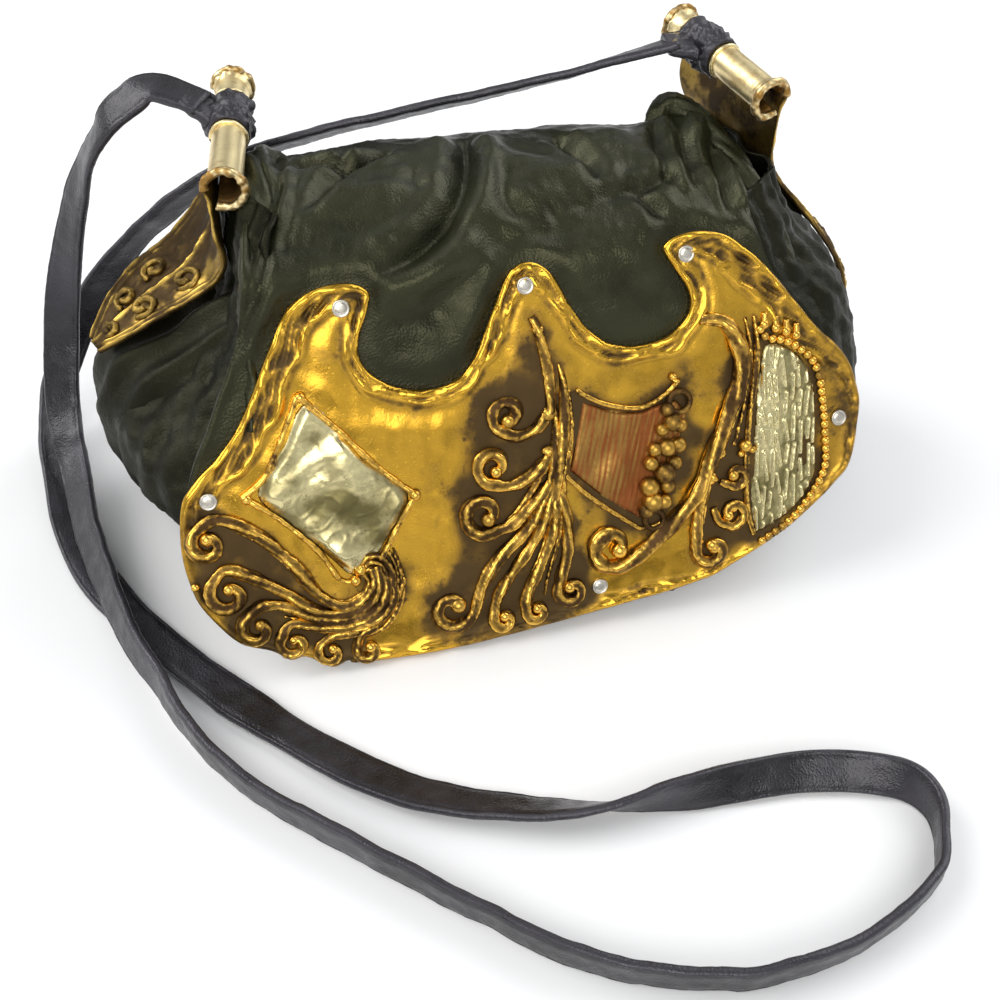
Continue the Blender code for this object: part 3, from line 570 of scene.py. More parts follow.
# Sharp creases and soft rolls on the unrolled flap: a line of (x, way up the flap) points, then its
# half width and its height. A crease is a valley beside a higher roll.
FLAP_CREASES = (
    (((-7, 211), (-12, 184), (-20, 164), (-31, 152), (-43, 144), (-58, 139)), 4.2, -5.0),
    (((-37, 202), (-57, 189), (-66, 178), (-76, 166)), 3.2, -3.2),
    (((26, 203), (31, 187), (34, 178), (32, 168)), 3.0, -3.4),
    (((62, 171), (54, 166), (47, 163), (50, 156), (54, 148)), 2.6, -2.4),
    (((0, 188), (-2, 166), (3, 156)), 3.4, -1.5),
    (((-36, 204), (-44, 196), (-52, 194), (-62, 198), (-74, 202)), 2.4, -3.0),
    (((-56, 214), (-54, 204), (-56, 196)), 2.4, -2.2),
    (((-30, 172), (-33, 178), (-30, 186)), 2.4, -1.2),
    (((-40, 122), (-10, 146), (10, 150), (32, 149)), 7.0, -2.0),
    (((10, 156), (32, 162), (48, 165)), 6.0, -2.2),
    (((-87, 206), (-84, 188), (-88, 166), (-94, 146), (-100, 128), (-108, 112)), 2.2, -3.2),
    (((-78, 204), (-79, 184), (-84, 164), (-91, 142), (-98, 126)), 2.0, -2.4),
    (((-72, 188), (-77, 168), (-83, 150)), 1.8, -1.6),
    (((87, 210), (84, 190), (80, 165), (80, 146)), 2.2, -2.4),
    (((76, 208), (72, 182), (69, 160)), 2.0, -2.0),
    (((66, 206), (62, 186), (60, 171), (63, 158)), 1.8, -1.6),
    (((81, 204), (77, 180), (73, 160), (74, 148)), 1.6, -1.4),
    (((96, 124), (88, 140), (84, 158)), 2.0, -1.6),
)
FLAP_ROLLS = (
    (((-78, 168), (-67, 173), (-57, 175), (-46, 172)), 7, 2.6),
    (((-4, 200), (-3, 186), (-9, 172), (-19, 157)), 6, 3.4),
    (((-56, 136), (-44, 139), (-30, 142), (-18, 145)), 5, 2.6),
    (((10, 182), (22, 175), (30, 172)), 9, 2.6),
    (((-22, 200), (-32, 190), (-42, 182)), 10, 2.2),
    (((44, 196), (52, 184), (56, 178)), 9, 2.4),
    (((-82, 206), (-81, 186), (-86, 164), (-94, 142)), 2.4, 2.2),
    (((-74, 204), (-75, 186), (-81, 166)), 2.6, 1.6),
    (((-91, 200), (-89, 176), (-96, 150), (-104, 126)), 2.6, 2.0),
    (((80, 210), (78, 188), (75, 164)), 2.4, 1.6),
    (((70, 206), (66, 184), (64, 164)), 2.6, 1.6),
    (((88, 200), (86, 176), (84, 156)), 3.0, 1.8),
    (((-50, 199), (-60, 204), (-70, 208)), 4.0, 2.4),
    (((-82, 190), (-84, 202), (-82, 214)), 6.0, 6.5),
    (((80, 196), (84, 206), (84, 216)), 9.0, 8.0),
    (((66, 206), (76, 212)), 6.0, 3.0),
)
FOLD_DEPTH = 1.3
# How far from the plate's edge the leather comes free of it, and how far it may move, in mm.
PLATE_HOLD = 7.0
FLAP_LIFT_LIMITS = (-7, 9.5)
FLAP_PUFF = 2.2
# Where the puffed part starts on the unrolled flap, and how long it is.
FLAP_PUFF_START = 100
FLAP_PUFF_LENGTH = 105
# Large and small waves, and fine wrinkles drawn out up the flap: (height, wavelength, seed).
FLAP_WAVES = ((0.7, 34, 21), (0.35, 13, 22))
FLAP_WRINKLES = (0.12, 3.5, 23)
FLAP_HEM = 1.2
FLAP_SINK = 0.15

PLATE_OUTLINE = (
    (-130.7, 54), (-128.4, 69.6), (-123.5, 77), (-110.5, 89), (-101.6, 101.5), (-86.4, 129.5),
    (-79.3, 136.6), (-70.4, 139.8), (-61.4, 139.8), (-56, 137), (-55.6, 133), (-60.5, 121),
    (-61.2, 115), (-58.4, 109), (-50.7, 103), (-39, 100.2), (-29.3, 102), (-21.3, 109),
    (-8.7, 134), (-3.6, 139.4), (1, 140.4), (5.4, 138.8), (10, 134), (15.4, 123), (21.6, 114),
    (29.6, 108.3), (38.6, 106.5), (49.3, 108), (57.3, 113.2), (60, 119.6), (58.2, 126.5),
    (50.8, 138.4), (52, 142), (57, 144.2), (64, 144.8), (72.5, 143), (80, 138.4),
    (90.4, 128.6), (109, 105.6), (117, 98), (122.7, 90), (126, 80.5), (127, 71), (123.6, 51),
    (117, 43), (106.4, 34), (94, 25.6), (70.7, 14.4), (60, 11.2), (38.6, 8), (-33, 0.6),
    (-73, 0.9), (-78, 2.6), (-84.6, 1.2), (-93, 6.8), (-99, 6.6), (-105.2, 11.4),
    (-116, 16.4), (-125.9, 30), (-129.4, 40),
)
EDGE = smooth_path(PLATE_OUTLINE, 5, closed=True)


def flap_surface():
    """The flap's outer face before its folds: points, their (x, way up), and outward normals."""
    rows = []
    ways = []
    columns = np.linspace(0, 1, FLAP_COLUMNS)
    for v, left, right in FLAP_FRONT:
        u = left + (right - left) * columns
        rise = FLAP_TILT * np.maximum(u, 0) * max(0, 1 - v / FLAP_TILT_TOP)
        rows.append(plate_points(u, v + rise, 0))
        ways.append(v)
    way = ways[-1]
    last = plate_points(0, way, 0)
    for y, z, left, right, drop in FLAP_OVER:
        here = np.array([0, y, z])
        way += np.linalg.norm(here - last)
        last = here
        x = left + (right - left) * columns
        fall = z - drop * np.abs(2 * columns - 1) ** 4
        rows.append(np.stack([x, np.full_like(x, y), fall], axis=1))
        ways.append(way)
    rows = np.array(rows)
    coarse = np.concatenate([rows, np.broadcast_to(np.array(ways)[:, None, None],
                                                   rows.shape[:2] + (1,))], axis=2)
    fine = smooth_path(coarse.reshape(len(rows), -1), 8).reshape(-1, *coarse.shape[1:])
    step = np.arange(fine[0, 0, 3], fine[-1, 0, 3], FLAP_SPACING)
    grid = np.empty((len(step),) + fine.shape[1:])
    for k in range(4):
        for j in range(fine.shape[1]):
            grid[:, j, k] = np.interp(step, fine[:, j, 3], fine[:, j, k])
    points = grid[..., :3]
    out = np.cross(np.gradient(points, axis=1), np.gradient(points, axis=0))
    return points, np.stack([points[..., 0], grid[..., 3]], axis=-1), unit(out)


def folds(flat, creases, rolls):
    """How far creases and rolls move the surface at flat positions."""
    shape = flat.shape[:-1]
    spots = flat.reshape(-1, 2)
    lift = np.zeros(len(spots))
    for line, half, height in creases:
        path = smooth_path(line, 6)
        gap, place = near_line(spots, path)
        length = path_length(path)
        ends = step_up(place, 0, 0.12 * length) * step_up(length - place, 0, 0.2 * length)
        valley = np.exp(-np.abs(gap / half) ** 1.3)
        shoulder = 0.35 * hump(gap, 2.2 * half, 1.2 * half)
        lift += FOLD_DEPTH * height * (valley - shoulder) * (0.15 + 0.85 * ends)
    for line, half, height in rolls:
        gap, _ = near_line(spots, smooth_path(line, 6))
        lift += height * hump(gap, 0, half)
    return lift.reshape(shape)


def make_flap():
    """The flap: gathered, puffed leather, held flat under the plate."""
    points, flat, out = flap_surface()
    spots = flat.reshape(-1, 2)
    gap, _ = near_line(spots, EDGE, closed=True)
    under = inside(spots, EDGE)
    free = step_up(np.where(under, -gap, gap), 0.5, PLATE_HOLD).reshape(flat.shape[:-1])
    share = np.clip((flat[..., 1] - FLAP_PUFF_START) / FLAP_PUFF_LENGTH, 0, 1)
    puff = FLAP_PUFF * np.sin(share * math.pi)
    waves = ripples(flat, *FLAP_WAVES) + ripples(flat * (1, 0.45), FLAP_WRINKLES)
    lift = free * (folds(flat, FLAP_CREASES, FLAP_ROLLS) + puff + waves)
    edge_x = np.minimum(flat[..., 0] - flat[:, :1, 0], flat[:, -1:, 0] - flat[..., 0])
    hem = FLAP_HEM * hump(edge_x, 0, 2.0) * free
    grid = points + out * (np.clip(lift, *FLAP_LIFT_LIMITS) + hem - FLAP_SINK)[..., None]
    rows, columns = grid.shape[:2]
    # Painted highlight and shade: the colour follows the folds' height, lighter on ridges and
    # darker in creases, with some random tone.
    wear_and_fold_shade = np.clip(0.25 * lift + 0.3 * ripple(flat, 20, 24), 0, 1)
    flap = add_mesh("folded_flap", grid.reshape(-1, 3), grid_faces(rows, columns), BLACK_LEATHER,
                    ["leather_flap"], {"wear_and_fold_shade": wear_and_fold_shade.ravel()})
    add_wall(flap, FLAP_THICKNESS, 1 if flap.data.polygons[0].normal.y > 0 else -1)


make_flap()


# The leather pouch

# Level sections: (height, half width left, half width right, front y, back y, sweep of the ends).
BODY_SECTIONS = (
    (0, 110, 100, -33, 76, 20), (3, 125, 109, -35, 80, 28), (8, 136, 118, -35.5, 84, 37),
    (22, 155, 134, -29, 92, 35), (42, 158, 147, -19, 98, 24), (60, 158, 153, -9, 102, 16),
    (75, 147, 148, -1, 105, 14), (86, 124, 140, 5, 107, 12), (96, 106, 126, 10, 108.5, 8),
    (106, 95, 113, 15, 109, 5), (117, 91, 103, 20.5, 108, 2), (126.5, 90, 100, 27, 101, 0),
)
BODY_SQUARENESS = 2.2
BODY_SPACING = 2.0
BODY_WALL = 1.8
BODY_GIRTH_STEPS = 300
# Soft waves of its leather, as (height, wavelength, seed), and how far it is drawn in for them.
BODY_WAVES = ((1.2, 45, 31), (0.9, 22, 32), (0.15, 5, 33))
BODY_SINK = 0.8
# The rings of its bottom, as shares of its foot's size.
BOTTOM_RINGS = (0.8, 0.55, 0.3)


def make_body():
    """The pouch: a soft open-topped shell whose ends hang in pleats."""
    table = even_path(smooth_path(BODY_SECTIONS, 8), BODY_SPACING, axes=1)
    height, left, right, front, back, sweep = (table[:, k:k + 1] for k in range(6))
    angle = circle(BODY_GIRTH_STEPS)[None, :]
    c = np.cos(angle)
    s = np.sin(angle)
    power = 2 / BODY_SQUARENESS
    half = np.where(c > 0, right, left)
    x = half * np.sign(c) * np.abs(c) ** power
    y = ((front + back) / 2 + (back - front) / 2 * np.sign(s) * np.abs(s) ** power
         + sweep * np.abs(c) ** (2 * power))
    points = np.stack([x, y, np.broadcast_to(height, x.shape)], axis=-1)
    out = unit(np.cross(np.gradient(points, axis=1), np.gradient(points, axis=0)))
    level = height / BODY_SECTIONS[-1][0]
    ends = np.abs(c) ** 2
    pleats = ends * (1.9 * np.cos(angle * 26 + 3.0 * level + 1.2 * np.sin(5 * level))
                     + 0.3 * np.cos(angle * 47 - 6 * level)) * step_up(level, 0.15, 0.75)
    pinch = ends * 0.9 * np.cos(level * 12 + 2.5 * np.sin(angle * 3)) * step_up(level, 0.02, 0.2)
    flat_bottom = step_up(height, 0, 7)
    lift = (pleats * 0.8 + pinch * 0.6 + ripples(points, *BODY_WAVES)) * flat_bottom
    grid = points + out * (lift - BODY_SINK)[..., None]
    grid[..., 2] = np.maximum(grid[..., 2], 0)
    rows, columns = grid.shape[:2]
    faces = grid_faces(rows, columns, closed_columns=True)
    spots = grid.reshape(-1, 3)
    foot = spots[:columns]
    middle = foot.mean(axis=0)
    floor_points = np.concatenate([middle + (foot - middle) * share for share in BOTTOM_RINGS])
    start = len(spots)
    spots = np.concatenate([spots, floor_points])
    bottom = []
    previous = np.arange(columns)
    for k in range(len(BOTTOM_RINGS)):
        ring = start + k * columns + np.arange(columns)
        for j in range(columns):
            i = (j + 1) % columns
            bottom.append([int(previous[i]), int(previous[j]), int(ring[j]), int(ring[i])])
        previous = ring
    bottom.append([int(i) for i in previous[::-1]])
    # Painted highlight and shade: pleat crests and swells lighter, their hollows darker.
    wear_and_fold_shade = np.concatenate([np.clip(0.2 * lift.ravel(), 0, 1), np.zeros(len(floor_points))])
    body = add_mesh("soft_pouch", spots, faces + bottom, POUCH_LEATHER, ["leather_body"],
                    {"wear_and_fold_shade": wear_and_fold_shade})
    add_wall(body, BODY_WALL, -1)


make_body()


# Gathered leather from the flap's edge round to the inside of each side strip, going down: each row
# is four (x, y, z) points from the front to the back.
LEFT_GUSSET = (
    ((-82, 40, 141), (-90, 50, 144), (-92, 80, 144), (-88, 110, 142)),
    ((-86, 31, 135), (-94, 45, 137), (-95, 78, 137), (-91, 112, 135)),
    ((-88, 24, 126), (-96, 42, 128), (-97, 78, 128), (-94, 112, 126)),
    ((-91, 18, 115), (-97, 38, 118), (-99, 76, 118), (-99, 108, 116)),
    ((-94, 13, 104), (-97, 36, 104), (-100, 74, 104), (-103, 100, 102)),
    ((-99, 7, 93), (-104, 32, 91), (-107, 70, 92), (-112, 94, 92)),
    ((-105, 1, 82), (-114, 28, 81), (-119, 64, 82), (-124, 86, 82)),
    ((-112, -6, 68), (-127, 20, 69), (-139, 60, 71), (-141, 80, 71)),
    ((-115, -13, 54), (-138, 12, 58), (-152, 52, 60), (-154, 76, 60)),
    ((-112, -20, 40), (-136, 6, 42), (-152, 46, 42), (-153, 72, 42)),
)
RIGHT_GUSSET = (
    ((83, 34, 132), (97, 44, 133), (106, 60, 131), (95, 104, 131)),
    ((88, 20, 119), (103, 36, 122), (111, 58, 120), (101, 104, 119)),
    ((92, 14, 108), (109, 30, 111), (117, 56, 111), (110, 99, 110)),
    ((99, 9, 99), (118, 26, 103), (126.5, 54, 103), (123, 93, 103)),
    ((107, 5, 90), (126, 22, 95), (133.5, 50, 95), (133, 86, 95)),
    ((113, 1, 81), (131, 18, 86), (138.5, 45, 86), (140, 78, 87)),
    ((117, -6, 68), (134, 12, 72), (143, 42, 75), (145, 72, 76)),
    ((117, -13, 54), (135, 6, 56), (147, 38, 60), (149, 72, 60)),
    ((112, -20, 40), (130, 0, 40), (143, 32, 42), (145, 68, 42)),
)
GUSSET_WALL = 1.6
GUSSET_PLEATS = 7
GUSSET_PLEAT_DEPTH = 0.8


def make_gusset(name, table, seed):
    """Leather gathered up to a lug: pleats that fan out from it."""
    rows = np.array(table, float)
    down = smooth_path(rows.reshape(len(rows), -1), 10).reshape(-1, rows.shape[1], 3)
    across = smooth_path(down.transpose(1, 0, 2).reshape(rows.shape[1], -1), 24)
    grid = across.reshape(len(across), len(down), 3).transpose(1, 0, 2)
    out = unit(np.cross(np.gradient(grid, axis=1), np.gradient(grid, axis=0)))
    side = math.copysign(1, grid[0, 0, 0])
    if out[len(grid) // 2, grid.shape[1] // 2, 0] * side < 0:
        out = -out
    share = np.linspace(0, 1, grid.shape[1])[None, :]
    fall = np.linspace(0, 1, grid.shape[0])[:, None]
    pleats = np.cos(2 * math.pi * GUSSET_PLEATS * (share + 0.05 * np.sin(4 * fall + seed)))
    lift = (GUSSET_PLEAT_DEPTH * pleats * (1 - 0.5 * fall)
            + 0.8 * ripple(grid, 14, seed) + 0.3 * ripple(grid, 5, seed + 1))
    grid = grid + out * lift[..., None]
    # Painted highlight and shade: the pleats' crests lighter, their valleys darker.
    gathered = add_mesh(name, grid.reshape(-1, 3), grid_faces(*grid.shape[:2]), POUCH_LEATHER, (),
                        {"wear_and_fold_shade": np.clip(0.3 * lift, 0, 1).ravel()})
    add_wall(gathered, GUSSET_WALL, 0)


# A thick fold of leather beside each lug, from behind it forwards and down: (x, y, z, radius).
LEFT_SHOULDER = (
    (-72, 84, 124, 3.5), (-78, 88, 132, 5.5), (-84, 82, 137, 6.3), (-86, 66, 138.5, 6.4),
    (-88, 50, 135, 6), (-91, 36, 128, 5.5), (-94, 26, 119, 5), (-96.5, 16, 109, 4.4),
    (-98, 7, 97, 3.4), (-101, -3, 83, 2.2),
)
RIGHT_SHOULDER = (
    (66, 82, 124, 3), (70, 88, 134, 5), (76, 91, 140.5, 5.6), (83, 84, 139.5, 5.6),
    (88, 72, 136, 5.6), (92, 58, 132, 5.6), (96, 46, 126, 5.4), (100.5, 35, 117, 5),
    (105, 26, 107, 4.4), (110, 17, 95, 3),
)
SHOULDER_STEP = 1.5
# Its sides, lobes, their depth and pitch, and its roughness.
SHOULDER_FORM = (30, 5, 0.16, 90, 0.2)


def make_shoulder(name, rows, seed):
    """The fold's body: a lumpy roll that tapers into the flap's edge."""
    path = even_path(smooth_path(rows, 8), SHOULDER_STEP)
    points, faces = tube(path[:, :3], path[:, 3], *SHOULDER_FORM, seed)
    add_mesh(name, points, faces, BLACK_LEATHER, (),
             {"wear_and_fold_shade": np.clip(0.3 + 0.5 * ripple(points, 12, seed), 0, 1)})


make_shoulder("leather_shoulder_left", LEFT_SHOULDER, 44)
make_shoulder("leather_shoulder_right", RIGHT_SHOULDER, 46)
make_gusset("gathered_gusset_left", LEFT_GUSSET, 35)
make_gusset("gathered_gusset_right", RIGHT_GUSSET, 38)


# The brass plate

PLATE_SPACING = 0.72
# How far in from the plate's edge its inner ridge runs, and how high: (u, v, distance, height).
RIM_RIDGE = (
    (-130.7, 54, 3, 0.0), (-128.4, 69.6, 6, 0.5), (-110.5, 89, 9.5, 1.3), (-86.4, 129.5, 9.5, 1.3),
    (-61.4, 139.8, 8, 1.3), (-60.5, 121, 4.5, 1.2), (-39, 100.2, 4.5, 1.2), (-21.3, 109, 5, 1.3),
    (-8.7, 134, 6, 1.2), (1, 140.4, 6, 1.0), (10, 134, 5.5, 1.2), (21.6, 114, 5, 1.3),
    (38.6, 106.5, 5, 1.2), (60, 119.6, 5, 1.2), (57, 144.2, 6.5, 1.0), (80, 138.4, 11, 1.4),
    (109, 105.6, 10, 1.4), (122.7, 90, 6.5, 0.9), (126, 80.5, 5, 0.5), (117, 43, 4, 0.3),
    (94, 25.6, 3, 0.2), (60, 11.2, 3.2, 0.8), (38.6, 8, 4, 1.0), (-33, 0.6, 4.4, 1.0),
    (-73, 0.9, 4, 0.9), (-84.6, 1.2, 3, 0.0), (-105.2, 11.4, 3, 0.0), (-125.9, 30, 3, 0.0),
)
# Dark, unpolished ground on the plate: outlines of (u, v) points.
DARK_GROUND = (
    ((-130, 60), (-124, 68), (-113, 66), (-103, 57), (-93, 45), (-82, 30), (-70, 36), (-57, 38),
     (-52, 28), (-56, 16), (-66, 11), (-72, 1), (-86, 1), (-105, 11), (-126, 30)),
    ((0, 122), (-5, 108), (-20, 98), (-27, 80), (-33, 62), (-34, 46), (-38, 32), (-50, 20),
     (-46, 8), (-20, 2), (14, 7), (18, 22), (13, 40), (11, 60), (13, 92), (9, 112), (4, 122)),
    ((10, 96), (18, 96), (32, 89), (46, 92), (58, 95), (62, 82), (62, 60), (52, 40), (40, 33),
     (24, 38), (9, 58)),
    ((84, 112), (72, 98), (70, 80), (60, 54), (56, 30), (58, 15), (84, 23), (114, 42), (113, 80),
     (104, 98)),
)


def relief_sheet(outline, spacing, back_w, face_w, relief):
    """A sheet in the plate's plane with a worked face: points, faces, and each point's (u, v).

    `relief` gives the height over face_w at (u, v) spots, the distance from the edge and the way
    round it.
    """
    outline = np.asarray(outline, float)
    low = outline.min(axis=0) - spacing
    high = outline.max(axis=0) + spacing
    us = np.arange(low[0], high[0] + spacing, spacing)
    vs = np.arange(low[1], high[1] + spacing, spacing)
    grid = np.stack(np.meshgrid(us, vs), axis=-1)
    centres = (grid[:-1, :-1] + grid[1:, 1:]) / 2
    kept = np.array(grid_faces(len(vs), len(us)))[inside(centres.reshape(-1, 2), outline)]
    used, faces = np.unique(kept, return_inverse=True)
    faces = faces.reshape(-1, 4)
    spots = grid.reshape(-1, 2)[used]
    following = boundary(faces)
    rim = np.array(list(following))
    spots[rim] = nearest_on(spots[rim], outline)
    height = relief(spots, *near_line(spots, outline, closed=True))
    top = plate_points(*spots.T, face_w + height)
    low_points = plate_points(*spots[rim].T, back_w)
    below = {int(a): len(spots) + k for k, a in enumerate(rim)}
    walls = [[b, a, below[a], below[b]] for a, b in following.items()]
    back = [below[a] for a in chain(following)][::-1]
    flat = np.concatenate([spots, spots[rim]])
    return np.concatenate([top, low_points]), faces.tolist() + walls + [back], flat


def boundary(faces):
    """The sheet's outer edge: each point and the next one round."""
    edges = {edge for face in faces.tolist() for edge in zip(face, face[1:] + face[:1])}
    return {a: b for a, b in sorted(edges) if (b, a) not in edges}


def chain(following):
    """The edge's points in order."""
    order = [next(iter(following))]
    while following[order[-1]] != order[0]:
        order.append(following[order[-1]])
    return order


def nearest_on(points, outline):
    """Each point moved onto the closed outline."""
    best = np.full(len(points), np.inf)
    moved = points.copy()
    for a, b in zip(outline, np.roll(outline, -1, axis=0)):
        span = b - a
        t = np.clip((points - a) @ span / max(float(span @ span), TINY), 0, 1)
        spot = a + t[:, None] * span
        gap = np.linalg.norm(points - spot, axis=1)
        closer = gap < best
        best[closer] = gap[closer]
        moved[closer] = spot[closer]
    return moved


def along_edge(values):
    """Numbers given at (u, v) places near the plate's edge, as a function of the way round it."""
    spots = np.array([row[:2] for row in values], float)
    _, place = near_line(spots, EDGE, closed=True)
    order = np.argsort(place)
    total = path_length(np.concatenate([EDGE, EDGE[:1]]))

    def read(column, places):
        numbers = np.array([row[column] for row in values], float)[order]
        return np.interp(places, place[order], numbers, period=total)
    return read


RIM_AT = along_edge(RIM_RIDGE)


def rim_line(place):
    """How far in the inner ridge runs, as it wavers."""
    way = place[:, None]
    return RIM_AT(2, place) + 0.8 * ripple(way, 24, 41) + 0.35 * ripple(way, 11, 42)


# Soft swells beaten into the plate's peaks: (u, v, half-width, half-height, height).
PLATE_SWELLS = ((67, 121, 9, 14, 1.5), (-69, 117, 9, 13, 0.7), (-2, 118, 5.5, 10, 0.8))


# The lip at the plate's edge and the ridge inside it, in mm.
LIP_HEIGHT = 1.2
LIP_IN = 1.3
LIP_HALF = 1.2
RIDGE_HEIGHT = 0.95
# Where the rim's strength is below this, it has no ridge.
RIM_LEAST = 0.1


def plate_relief(spots, gap, place):
    """The plate's worked face: a rolled lip, a crinkled band, a wavering inner ridge."""
    way = place[:, None]
    ridge = rim_line(place)
    strength = RIM_AT(3, place)
    lip = LIP_HEIGHT * hump(gap, LIP_IN, LIP_HALF) * (0.9 + 0.35 * ripple(way, 17, 43))
    inner = RIDGE_HEIGHT * strength * hump(gap, ridge, LIP_HALF)
    inner = inner * (0.85 + 0.45 * ripple(way, 16, 44))
    band = step_up(gap, 0.8, 2.0) * (1 - step_up(gap, ridge - 1.2, ridge + 0.2))
    band = band * (strength > RIM_LEAST)
    share = gap / np.maximum(ridge, 2)
    bent = np.stack([place / 11 + 1.6 * share, share * 2.2], axis=1)
    crinkles = 1 - np.abs(ripple(bent, 1.3, 45)) * 1.6
    hammered = band * (0.75 * crinkles + 0.12 * ripple(spots, 5, 46))
    dish = 0.55 * ripple(spots, 60, 48) * step_up(gap, 8, 16) + 0.1 * ripple(spots, 11, 49)
    for *swell, height in PLATE_SWELLS:
        dish = dish + height * mound(spots, *swell) * step_up(gap, 4, 10)
    return lip + inner + hammered + dish


def dark_ground(spots):
    """How dark the plate's ground is, from 0 to 1."""
    dark = np.zeros(len(spots))
    for outline in DARK_GROUND:
        path = smooth_path(outline, 4, closed=True)
        gap, _ = near_line(spots, path, closed=True)
        signed = np.where(inside(spots, path), gap, -gap) + 2.2 * ripple(spots, 21, 51)
        signed = signed + 0.5 * ripple(spots, 9, 53)
        dark = np.maximum(dark, step_up(signed, -5.5, 6.5) * (0.93 + 0.1 * ripple(spots, 12, 52)))
    return np.clip(dark, 0, 1)


def make_plate():
    """The worked plate, dark in its ground, its rim's creases and its far right."""
    points, faces, flat = relief_sheet(EDGE, PLATE_SPACING, PLATE_BACK_W, PLATE_FACE_W,
                                       plate_relief)
    gap, place = near_line(flat, EDGE, closed=True)
    ridge = rim_line(place)
    rimmed = RIM_AT(3, place) > RIM_LEAST
    band = step_up(gap, 1.2, 2.4) * (1 - step_up(gap, ridge - 1.4, ridge - 0.4)) * rimmed
    foot = hump(gap - ridge, 1.6, 1.3) * rimmed
    crease = np.clip(1.1 - over_plate(points), 0, 1)
    recess = np.maximum(dark_ground(flat), band * (0.18 + 0.55 * crease) + 0.45 * foot)
    far = step_up(flat[:, 0], 106, 113) * 0.45
    add_mesh("worked_plate", points, faces, BRASS, ["brass_plate"],
             {"recess": np.maximum(recess, far)})


make_plate()


# Soldered scrolls: stem (u, v) points, the curl's centre, its turn in degrees (left-handed is
# positive), and the wire's radius at the root and at the curl.
SCROLLS = (
    (((-65.5, 37.5), (-65.5, 31), (-71, 25.5), (-78, 24.5), (-86, 31), (-93, 43), (-102, 54.5),
      (-112, 62), (-119, 64.2), (-125.5, 60.5)), (-121.5, 55.5), 400, 1.5, 1.3),
    (((-63.5, 38), (-63.5, 30), (-68, 23.5), (-77, 21.5), (-88, 24.5), (-98, 33.5), (-109, 41.5),
      (-117, 45), (-122.8, 40)), (-117, 35.5), 380, 1.5, 1.3),
    (((-61, 34), (-61, 28), (-66, 21), (-77, 18.6), (-88, 21.5), (-97, 27.5), (-106, 29.6),
      (-113, 25.5)), (-109, 20.8), 360, 1.4, 1.2),
    (((-58.6, 32), (-58.8, 25), (-65, 18), (-77, 15.8), (-88, 18), (-97, 20.8), (-101.4, 16)),
     (-97, 12.8), 380, 1.3, 1.1),
    (((-72.4, 12.6), (-81.6, 13.7), (-87.6, 10.6)), (-84.1, 7.1), 360, 1.15, 1.05),
    (((-66, 14), (-72, 12.4), (-74.6, 7.5)), (-70.4, 5.6), 330, 1.2, 1.1),
    (((4, 88), (0, 81.5), (-8, 79), (-15.5, 83)), (-11, 87.6), -400, 1.5, 1.3),
    (((4, 71), (-3, 64), (-12, 60.8), (-20.5, 63.2)), (-17.6, 69.4), -400, 1.7, 1.3),
    (((3.5, 61), (-3, 53.5), (-13, 46), (-24, 43.8)), (-23, 51.8), -400, 1.7, 1.4),
    (((3, 58), (-5, 45), (-17, 35), (-25, 25), (-29.5, 14.5)), (-38, 16.4), -390, 1.7, 1.4),
    (((4, 56), (-2, 42), (-11, 30.5), (-19.5, 19.5), (-22.6, 10)), (-18.3, 8.8), 360, 1.6, 1.2),
    (((5, 56), (3, 41), (-3.5, 27.5), (-9, 17), (-9.6, 10.5)), (-5.4, 10), 360, 1.5, 1.2),
    (((6, 57), (8.4, 45), (8, 33), (4.6, 22), (3, 16)), (8.6, 16.4), 380, 1.5, 1.3),
    (((63, 113.4), (70.5, 112.4), (76, 106.5), (78.6, 97), (77.4, 87), (72, 74), (66.6, 62),
      (60.5, 48.5), (50, 37.5), (39, 28.5), (28, 23)), (25, 31.4), -400, 2.2, 1.8),
    (((65, 57), (62, 46), (59.6, 35), (58.6, 25)), (65.2, 23.6), 360, 1.6, 1.4),
    (((66.5, 40.5), (68.5, 34.5), (74, 31.4)), (74, 37.2), 360, 1.3, 1.1),
    (((69.5, 50.4), (74.5, 47.8)), (76, 52), 340, 1.2, 1.1),
)
